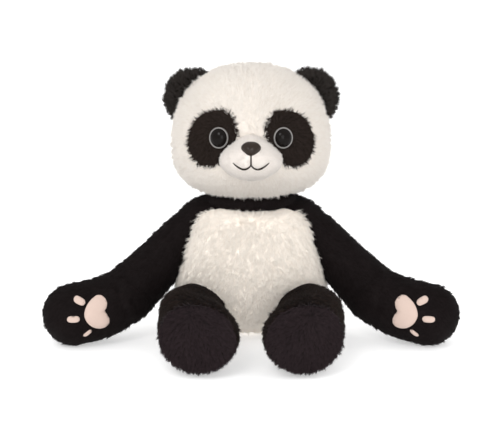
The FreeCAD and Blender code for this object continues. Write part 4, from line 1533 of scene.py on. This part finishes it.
@dataclass
class Torso:
    """The pear-shaped torso, its dark shoulders and tail.

    Attributes:
        sections: height and half width of the cloth, in millimetres.
        flatness: depth over width at the belly.
        shoulder_flatness: depth over width at the top.
        yoke_half: half sizes of the dark shoulders.
        yoke_height: their middle over the floor.
        tuck: how far the belly's foot is drawn up in front.
        belly_top: upper edge of the cream fur.
        belly_pile: the long fur of the belly.
        back_pile: the fur behind.
        yoke_pile: the dark pile of the shoulders.
        collar_pile: the dark pile of the neck.
        tail_pile: the tail's.
    """

    sections: tuple[tuple[float, float], ...] = (
        (2, 0), (2, 22), (5, 38), (12, 53), (24, 65), (38, 72), (52, 74), (66, 72), (84, 66.5), (100, 61.5),
        (112, 58), (121, 54), (128, 47), (133, 34), (135, 18), (135.5, 0),
    )
    flatness: float = 0.74
    shoulder_flatness: float = 0.66
    yoke_half: tuple[float, float, float] = (73 * MM, 33 * MM, 30 * MM)
    yoke_height: float = 116 * MM
    tuck: float = 13 * MM
    belly_top: float = 128.5 * MM
    belly_pile: Pile = Pile(48000, 5.8 * MM, 0.6 * MM, 0.66, 9, 0.32, 0.24)
    back_pile: Pile = Pile(36000, 5.8 * MM, 0.65 * MM, 0.66, 10, 0.35, 0.25)
    yoke_pile: Pile = Pile(16000, 3.8 * MM, 0.55 * MM, 0.62, 12, 0.4, 0.22)
    collar_pile: Pile = Pile(8000, 3.4 * MM, 0.5 * MM, 0.62, 12, 0.4, 0.22)
    tail_pile: Pile = Pile(7000, 6.5 * MM, 0.65 * MM, 0.5, 12, 0.4, 0.32)

    def __post_init__(self) -> None:
        """Takes the torso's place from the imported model."""
        self.axis = pivot("neck_turn")[1]

    def rule(self, sphere: Array) -> Array:
        """Carries the unit sphere to the torso.

        Args:
            sphere: points on the unit sphere.

        Returns:
            Where each point goes.
        """
        profile = np.array(self.sections) * MM
        path = np.concatenate([[0], np.cumsum(np.hypot(*np.diff(profile, axis=0).T))])
        fine = np.linspace(0, path[-1], 200)
        window = np.hanning(19)[1:-1]
        window /= window.sum()
        rounds = []
        for column, ends in ((0, "even"), (1, "odd")):
            values = np.pad(np.interp(fine, path, profile[:, column]), 8, mode="reflect", reflect_type=ends)
            rounds.append(np.convolve(values, window, mode="valid"))
        at = (1 - np.arccos(np.clip(sphere[:, 2], -1, 1)) / math.pi) * path[-1]
        z, wide = np.interp(at, fine, rounds[0]), np.interp(at, fine, rounds[1])
        way = unit(sphere[:, :2] + 1e-12)
        square = 2 + 0.9 * step(z, 45 * MM, 100 * MM)
        way = way / ((np.abs(way) ** square[:, None]).sum(1) ** (1 / square))[:, None]
        flat = self.flatness + (self.shoulder_flatness - self.flatness) * step(z, 60 * MM, 120 * MM)
        deep = way[:, 1] * wide * flat
        tuck = self.tuck * step(-deep, 0, 40 * MM) * (1 - step(z, 0, 34 * MM))
        return np.stack([way[:, 0] * wide, self.axis + deep, z + tuck], 1)

    def build(self) -> None:
        """Makes the stuffed cloth."""
        body = ball("torso_skin", self.rule, 72, 56)
        stuffing = Stuffing(voxel=4.5 * MM, slack=0.03, cap=2.0 * MM, fill=0.75)
        stuffing.finish(body, lambda p: (np.abs(p[:, 1] - self.axis) < SEAM_HALF) | (p[:, 2] < 5 * MM))
        set_coords(body, seated(coords(body)))
        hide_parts("belly_panel", "back_panel", "collar_yoke", "seat_panel", "torso_filling")
        dress(body, BELLY_PAINTED_LIGHT.cloth(), "torso")
        self.skin = Skin(body)
        centre = np.array([0, self.axis + 5 * MM, self.yoke_height])
        yoke = ball("shoulder_yoke", lambda p: centre + p * np.array(self.yoke_half), 64, 40)
        Stuffing(voxel=4.5 * MM, slack=0.02, cap=1.2 * MM, fill=0.7).finish(yoke, no_seam)
        dress(yoke, BLACK.cloth(), "torso")
        self.yoke = Skin(yoke)
        throat = np.array([0, self.axis, 139 * MM])
        collar = ball("neck_collar", lambda p: throat + p * np.array([45, 33, 15]) * MM, 56, 32)
        Stuffing(voxel=4.5 * MM, slack=0.01, cap=0.8 * MM, fill=0.6).finish(collar, no_seam)
        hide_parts("neck_filling")
        dress(collar, BLACK.cloth(), "neck")
        self.collar = Skin(collar)
        middle_of = middle("tail")
        size = np.array([13, 13, 13]) * MM
        tail = ball("tail_skin", lambda p: middle_of + np.array([0, -2 * MM, 0]) + p * size, 32, 20)
        Stuffing(voxel=3.5 * MM, slack=0.01, cap=0.8 * MM, fill=0.6).finish(tail, no_seam)
        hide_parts("tail")
        dress(tail, CREAM.cloth(), "torso")
        self.tail = Skin(tail)

    def build_pile(self, legs: Sequence[Skin]) -> None:
        """The fur of the belly and back and the pile of the shoulders and tail.

        Args:
            legs: the legs' cloth.
        """

        def brushed(points: Array) -> Array:
            """Down and outwards, and standing up along the top edge.

            Args:
                points: the places.

            Returns:
                The way the pile lies.
            """
            local = points - np.array([0, self.axis, 0])
            up = -1 + 1.5 * step(points[:, 2], 112 * MM, 129 * MM)
            return np.stack([local[:, 0] * 11, np.full(len(points), -0.15), up], 1)

        line = self.axis + 4 * MM
        down = towards(0, 0.2, -1)
        collar_flow = away_from(np.array([0, self.axis, 160 * MM]), 0.4)
        yoke_flow = away_from(np.array([0, self.axis, 150 * MM]), 0.4)
        tail_flow = away_from(self.tail.points.mean(0) - np.array([0, 20 * MM, 0]), 0.3)

        def in_front(points: Array) -> Array:
            """The belly's side of the torso, under the dark shoulders."""
            return (points[:, 1] < line) * (points[:, 2] > 6 * MM) * (points[:, 2] < self.belly_top)

        def behind(points: Array) -> Array:
            """The back's side of the torso, under the dark shoulders."""
            return (points[:, 1] >= line) * (points[:, 2] > 6 * MM) * (points[:, 2] < 112 * MM)

        def over_arms(points: Array) -> Array:
            """The upper part of the shoulders."""
            return np.where(points[:, 2] > 96 * MM, 1.0, 0.0)

        def under_head(points: Array) -> Array:
            """The collar up to where the head sits on it."""
            return (points[:, 2] < 146 * MM).astype(float)

        for name, skin, flow, seed, where, keep_out, finish, slot, body in (
            ("belly_pile", self.skin, brushed, 51, in_front, legs, BELLY_PAINTED_LIGHT, "cream_plush", "torso"),
            ("back_pile", self.skin, down, 52, behind, (self.tail,), BELLY_PAINTED_LIGHT, "cream_plush", "torso"),
            ("yoke_pile", self.yoke, yoke_flow, 53, over_arms, (self.skin,), BLACK, "black_plush", "torso"),
            ("collar_pile", self.collar, collar_flow, 55, under_head, (self.yoke,), BLACK, "black_plush", "neck"),
            ("tail_pile", self.tail, tail_flow, 54, EVERYWHERE, (self.skin,), CREAM, "cream_plush", "torso"),
        ):
            made = getattr(self, name).grow(name, skin, flow, seed, where, keep_out=keep_out)
            dress(made, finish.pile(), body)


# ---- limbs ----------------------------------------------------------------------------------


@dataclass
class Arms:
    """Two long arms, each one skin from shoulder to paw.

    Attributes:
        inset: how far the cloth lies inside the plush's outer surface.
        crease: depth of the folds at the elbow.
        root: how far the sleeve goes on inside the shoulder.
        pile: the short pile.
        palm_reach: distances from the palm pad's middle to its outline, from straight up and on outwards.
        toes: each toe pad's place out and over from the palm's middle, half sizes, and turn in degrees.
        radii: in millimetres, of the plush from the shoulder to the paw.
        sag: in millimetres, how far the arm hangs under the joints' line half way down the upper arm, at
            the elbow and half way down the forearm.
        set_back: in millimetres, how far the shoulder lies behind its joint.
        over_elbow: half the stretch of cloth over the elbow.
    """

    inset: float = 2.4 * MM
    crease: float = 2.0 * MM
    pile: Pile = Pile(47000, 3.9 * MM, 0.5 * MM, 0.72, 18, 0.4, 0.18)
    root: float = 28 * MM
    palm_reach: tuple[float, ...] = (
        15.9, 13.9, 12.7, 11.8, 11.3, 11.1, 11.2, 11.3, 11.4, 11.9, 12.7, 13.8,
        15.1, 16.1, 16.6, 16.2, 14.0, 11.3, 8.9, 8.1, 11.4, 14.3, 15.7, 16.6,
    )
    toes: tuple[tuple[float, float, float, float, float], ...] = (
        (16.0, 11.6, 5.9, 3.0, -25), (21.4, -4.4, 6.0, 3.1, 0), (8.9, -19.4, 5.2, 1.8, 38),
    )

    radii: tuple[float, ...] = (20.5, 22.5, 26.0, 29.2, 30.6, 31.2)
    sag: tuple[float, float, float] = (8.0, 11.5, 8.5)
    set_back: float = 10.0
    over_elbow: float = 20 * MM

    def build(self) -> list[Skin]:
        """Makes both arms' cloth and pads, and returns the cloth.

        Returns:
            The cloth, for piles to keep out of.
        """
        self.skins, self.pads = [], []
        for side in Side:
            word, sign = side.word, side.value
            shoulder, bend = pivot(f"{word}_shoulder_raise"), pivot(f"{word}_elbow_bend")
            low, high = span(f"{word}_paw_cover")
            tip = np.array([(high[0] if sign > 0 else low[0]) - sign * 31 * MM, (low[1] + high[1]) / 2, 31 * MM])
            drop, back = np.array([0, 0, -MM]), np.array([0, MM, 0])
            half_way = shoulder * 0.5 + bend * 0.5 + drop * self.sag[0] + back * 8
            fore = bend * 0.5 + tip * 0.5 + drop * self.sag[2]
            start = shoulder + np.array([-sign * 0.805, 0, 0.593]) * self.root + back * self.set_back
            places = (start, shoulder + back * self.set_back, half_way, bend + drop * self.sag[1], fore, tip)
            line = tuple(tuple(place) for place in places)
            radii = tuple(r * MM - self.inset for r in self.radii)
            arm = ball(f"{word}_arm_skin", Limb(line, radii).rule, 56, 60)
            lead = unit(tip - shoulder)

            def folds(points: Array) -> Array:
                """1 in the folds at the elbow, deepest inside the bend.

                Args:
                    points: the places.

                Returns:
                    How deep the fold is, 0 to 1.
                """
                off = points - bend
                along = off @ lead
                inner = off[:, 2] + off[:, 1] * 0.5
                fold = np.zeros(len(points))
                for at, slope, deep in ((-7, 0.35, 1.0), (4, -0.30, 0.75)):
                    gap = along - at * MM - slope * inner
                    fold = np.maximum(fold, deep * np.exp(-((gap / (2.6 * MM)) ** 2)))
                return fold * step(-off[:, 1], -6 * MM, 14 * MM)

            stuffing = Stuffing(voxel=4.5 * MM, slack=0.03, cap=1.8 * MM, fill=0.7)
            stuffing.finish(arm, lambda p: folds(p) > 0.6)
            places = coords(arm)
            skin = Skin(arm)
            set_coords(arm, seated(places - skin.normals * (folds(places) * self.crease)[:, None]))
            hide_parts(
                f"{word}_sleeve", f"{word}_sleeve_filling", f"{word}_paw_cover", f"{word}_paw_filling",
                f"{word}_shoulder_filling",
            )
            self.dress_bending(arm, BLACK.cloth(), bend, lead)
            self.skins.append(Skin(arm))
            self.pads.append(self.build_pads(side, self.skins[-1]))
        return self.skins

    def dress_bending(
        self, obj: bpy.types.Object, material: bpy.types.Material, bend: Array, lead: Array
    ) -> None:
        """Gives a piece that goes over the elbow its material and bakes its place into its mesh.

        Args:
            obj: the piece.
            material: what it is made of.
            bend: the elbow.
            lead: the arm's direction.
        """
        obj.data.materials.clear()
        obj.data.materials.append(material)
        reach = lead * self.over_elbow
        bend - reach
        bend + reach
        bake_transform(obj)
        LOG.info("%s: %d faces, over the elbow", obj.name, len(obj.data.polygons))

    def build_pads(self, side: Side, skin: Skin) -> list[Outline]:
        """Sews the palm pad and the toe pads on one paw.

        Args:
            side: which side of the toy.
            skin: the cloth.

        Returns:
            The pads' outlines.
        """
        palm = middle(f"{side.word}_palm_pad")
        across, height = abs(palm[0]) + 1.5 * MM, palm[2] - 5.0 * MM
        heart = Outline(across, height, tuple(r * MM for r in self.palm_reach), side, 0.12)
        made = heart.lay(f"{side.word}_palm_velour", skin, 0.9 * MM, 2.4 * MM, 2.4 * MM, 44)
        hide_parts(f"{side.word}_palm_pad")
        dress(made, PAD.material(), f"{side.word}_paw")
        outlines = [heart]
        bars = []
        for out, over, long, wide, turn in self.toes:
            angles = np.arange(24) * 2 * math.pi / 24
            lean = angles - math.radians(90 + turn)
            reach = 1 / ((np.abs(np.cos(lean)) / long) ** 2.8 + (np.abs(np.sin(lean)) / wide) ** 2.8) ** (1 / 2.8)
            toe = Outline(across + out * MM, height + over * MM, tuple(reach * MM), side, 0.13)
            bars.append(toe.lay(f"{side.word}_toe_{len(bars)}", skin, 0.9 * MM, 1.5 * MM, 2.2 * MM, 20))
            outlines.append(toe)
        activate(bars[0])
        for bar in bars:
            bar.select_set(True)
        bpy.ops.object.join()
        bars[0].name = bars[0].data.name = f"{side.word}_toe_velour"
        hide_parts(f"{side.word}_toe_pads")
        dress(bars[0], PAD.material(), f"{side.word}_paw")
        return outlines

    def build_pile(self, inside: Sequence[Skin]) -> None:
        """The arms' short pile, brushed towards the paws and clear of the skins that the roots are in.

        Args:
            inside: the skins that the arms' roots are in.
        """
        for number, (side, skin, pads) in enumerate(zip(Side, self.skins, self.pads)):
            word = side.word
            shoulder, bend = pivot(f"{word}_shoulder_raise"), pivot(f"{word}_elbow_bend")
            low, high = span(f"{word}_paw_cover")
            tip = (low + high) / 2
            lead = unit(tip - shoulder)

            def bare(points: Array) -> Array:
                """No pile on the pads.

                Args:
                    points: the places.

                Returns:
                    1 where there is pile, 0 where there is none.
                """
                shown = np.ones(len(points))
                for pad in pads:
                    on_pad = (pad.share(points) < 1.0) & (points[:, 1] < tip[1])
                    shown[on_pad] = 0
                return shown

            made = self.pile.grow(
                f"{word}_arm_pile",
                skin,
                lambda p: np.tile(lead, (len(p), 1)) - np.array([0, 0, 0.25]),
                61 + number,
                bare,
                keep_out=inside,
            )
            self.dress_bending(made, BLACK.pile(), bend, lead)


@dataclass
class Legs:
    """Two short legs with shaggy soles.

    Attributes:
        inset: how far the cloth lies inside the plush's outer surface.
        bow: how far the thigh's top leans outwards.
        spread: how far the hip end lies outside the joint's line.
        toe_in: how far the sole comes in from there.
        width: of the leg over its height.
        stations: places along the leg and its radius there, in millimetres.
        blunt: length of the rounded far end.
        sole_along: the sole's place along the leg, in millimetres.
        sole_half: half sizes of the sole's cushion.
        pile: the leg's soft pile.
        sole_pile: the sole's long strands.
    """

    inset: float = 4.6 * MM
    bow: float = 0.47
    spread: float = 11.0 * MM
    toe_in: float = 17.0 * MM
    width: float = 1.09
    stations: tuple[tuple[float, float], ...] = ((-4, 28), (18, 29.5), (40, 33), (60, 36.2), (78, 37.6), (91, 36.8))
    blunt: float = 9 * MM
    sole_along: float = 98.5
    sole_half: tuple[float, float] = (31.5 * MM, 5.5 * MM)
    pile: Pile = Pile(28000, 4.2 * MM, 0.55 * MM, 0.66, 12, 0.4, 0.22)
    sole_pile: Pile = Pile(15000, 4.8 * MM, 0.55 * MM, 0.66, 10, 0.5, 0.3)

    def build(self) -> list[Skin]:
        """Makes both legs' cloth and soles, and returns the legs' cloth.

        Returns:
            The cloth, for piles to keep out of.
        """
        self.skins, self.soles = [], []
        for side in Side:
            word = side.word
            hip = pivot(f"{word}_hip_lift")
            sole_at = middle(f"{word}_sole")
            self.lead = unit((sole_at - hip) * np.array([1, 1, 0]))
            line = tuple(tuple(hip + self.lead * s * MM) for s, _ in self.stations)
            radii = tuple(r * MM - self.inset for _, r in self.stations)
            leg = ball(f"{word}_leg_skin", Limb(line, radii, self.blunt).rule, 56, 48)
            Stuffing(voxel=4.5 * MM, slack=0.02, cap=1.5 * MM, fill=0.8).finish(leg, no_seam)
            set_coords(leg, seated(self.leaned(coords(leg), hip, side)))
            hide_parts(f"{word}_leg_cover", f"{word}_leg_filling")
            dress(leg, BLACK.cloth(), f"{word}_leg")
            self.skins.append(Skin(leg))
            front = hip + self.lead * self.sole_along * MM

            def disc(sphere: Array) -> Array:
                """Carries the unit sphere to the sole.

                Args:
                    sphere: points on the unit sphere.

                Returns:
                    Where each point goes.
                """
                flat = np.sign(sphere[:, 2]) * np.abs(sphere[:, 2]) ** 0.8
                wide, thick = self.sole_half
                shape = np.stack([sphere[:, 0] * wide, sphere[:, 1] * wide, flat * thick], 1)
                return facing(shape, front, self.lead)

            sole = ball(f"{word}_sole_skin", lambda p: self.leaned(disc(p), hip, side), 48, 24)
            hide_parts(f"{word}_sole")
            dress(sole, SOLE.cloth(), f"{word}_leg")
            self.soles.append((Skin(sole), front, self.lead.copy()))
        return self.skins

    def leaned(self, points: Array, hip: Array, side: Side) -> Array:
        """Leans the thigh's top outwards and turns the sole inwards.

        Args:
            points: the places.
            hip: the joint.
            side: which side of the toy.

        Returns:
            The moved places.
        """
        points = points.copy()
        along = (points - hip) @ self.lead
        rise = np.maximum(points[:, 2] - hip[2], 0)
        lean = self.bow * (1 - 0.75 * step(along, 50 * MM, 95 * MM)) * rise**2 / (38 * MM)
        line = hip[0] + self.lead[0] * along
        points[:, 0] = line + (points[:, 0] - line) * self.width
        points[:, 0] += side.value * (self.spread + lean - self.toe_in * step(along, 20 * MM, 98 * MM))
        return points

    def build_pile(self, torso: Skin) -> None:
        """The legs' pile and the soles' strands.

        Args:
            torso: the torso's cloth.
        """
        for number, (side, skin, (sole, front, lead)) in enumerate(zip(Side, self.skins, self.soles)):
            hip = pivot(f"{side.word}_hip_lift")

            def brushed(points: Array) -> Array:
                """Along the leg, down, and away from the middle of the sole."""
                return np.tile(lead, (len(points), 1)) * 0.8 + unit(points - front) * 0.6 - np.array([0, 0, 0.3])

            made = self.pile.grow(
                f"{side.word}_leg_pile",
                skin,
                brushed,
                71 + number,
                lambda p: step((p - hip) @ lead, 0, 12 * MM),
                keep_out=(sole, torso),
            )
            dress(made, LEG.pile(), f"{side.word}_leg")
            made = self.sole_pile.grow(
                f"{side.word}_sole_pile", sole, away_from(front - lead * 14 * MM + np.array([0, 0, 10 * MM]), 0.5),
                81 + number, lambda p: ((p - front) @ lead > -1.0 * MM).astype(float),
            )
            dress(made, SOLE.pile(), f"{side.word}_leg")


# ---- fittings and surroundings --------------------------------------------------------------


def dress_inner_parts() -> None:
    """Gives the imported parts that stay, all but the label hidden inside, their finishes."""
    finishes = {
        "neck_filling": STUFFING, "seat_pellet_bag": BAG, "nose_washer": WASHER, "care_label": TAPE,
        **{f"{side.word}_eye_washer": WASHER for side in Side},
        **{f"{side.word}_ear_thread": THREAD for side in Side},
    }
    for name, finish in finishes.items():
        node = frame["nodes"][name]
        node.data.materials.clear()
        node.data.materials.append(finish.material())


@dataclass
class Studio:
    """Pale floor, soft lights and the camera.

    Attributes:
        distance: of the camera from what it looks at.
        elevation: over the horizon, in degrees.
        lens: focal length in millimetres.
        look_at: height of the point it looks at.
        lamps: each one's name, place, size in metres and power in watts.
        room: strength of the light from all round.
    """

    distance: float = 1.3
    elevation: float = 12.0
    lens: float = 93.2
    look_at: float = 121.4 * MM
    lamps: tuple[tuple[str, tuple[float, float, float], float, float], ...] = (
        ("key", (-0.40, -1.15, 1.05), 0.5, 6.2),
        ("fill", (0.30, -1.3, 0.40), 0.6, 3.6),
    )
    room: float = 1.08

    def build(self) -> None:
        """Makes all of it."""
        bpy.ops.object.select_all(action="DESELECT")
        bpy.ops.mesh.primitive_plane_add(size=60, location=(0, 0, 0))
        floor = bpy.context.object
        floor.name = "floor"
        recipe = Recipe("floor_paper")
        recipe.set(Base_Color=(0.80, 0.80, 0.80, 1), Roughness=0.9, Specular_IOR_Level=0.0)
        recipe.set(Emission_Color=(1, 1, 1, 1), Emission_Strength=0.45)
        floor.data.materials.append(recipe.material)
        world = bpy.data.worlds.new("room")
        bpy.context.scene.world = world
        world.use_nodes = True
        sky = world.node_tree.nodes["Background"]
        sky.inputs["Color"].default_value = (1.0, 1.0, 1.0, 1)
        sky.inputs["Strength"].default_value = self.room
        aim = np.array([0, pivot("neck_turn")[1], self.look_at])
        for name, place, size, power in self.lamps:
            light = bpy.data.lights.new(name, "AREA")
            light.energy, light.size = power, size
            lamp = bpy.data.objects.new(name, light)
            bpy.context.scene.collection.objects.link(lamp)
            lamp.location = place
            lamp.rotation_euler = (Vector(aim) - Vector(place)).to_track_quat("-Z", "Y").to_euler()
        camera = bpy.data.cameras.new("camera")
        camera.lens, camera.sensor_width = self.lens, 36
        eye = bpy.data.objects.new("camera", camera)
        bpy.context.scene.collection.objects.link(eye)
        angle = math.radians(self.elevation)
        eye.location = aim + self.distance * np.array([0, -math.cos(angle), math.sin(angle)])
        eye.rotation_euler = (Vector(aim) - eye.location).to_track_quat("-Z", "Y").to_euler()
        bpy.context.scene.camera = eye
        bpy.context.scene.view_settings.view_transform = "Standard"


def main() -> None:
    """Builds the toy and its surroundings."""
    logging.basicConfig(level=logging.INFO, format="%(name)s %(message)s")
    dress_inner_parts()
    head, ears, torso, arms, legs = Head(), Ears(), Torso(), Arms(), Legs()
    head.build_skull()
    head.build_muzzle()
    head.build_eyes()
    head.build_patches()
    ear_skins = ears.build()
    head.build_pile(ear_skins)
    ears.build_pile(head.skin)
    torso.build()
    leg_skins = legs.build()
    arms.build()
    torso.build_pile(leg_skins)
    arms.build_pile((torso.skin, torso.yoke))
    legs.build_pile(torso.skin)
    Studio().build()


if __name__ == "__main__":
    main()
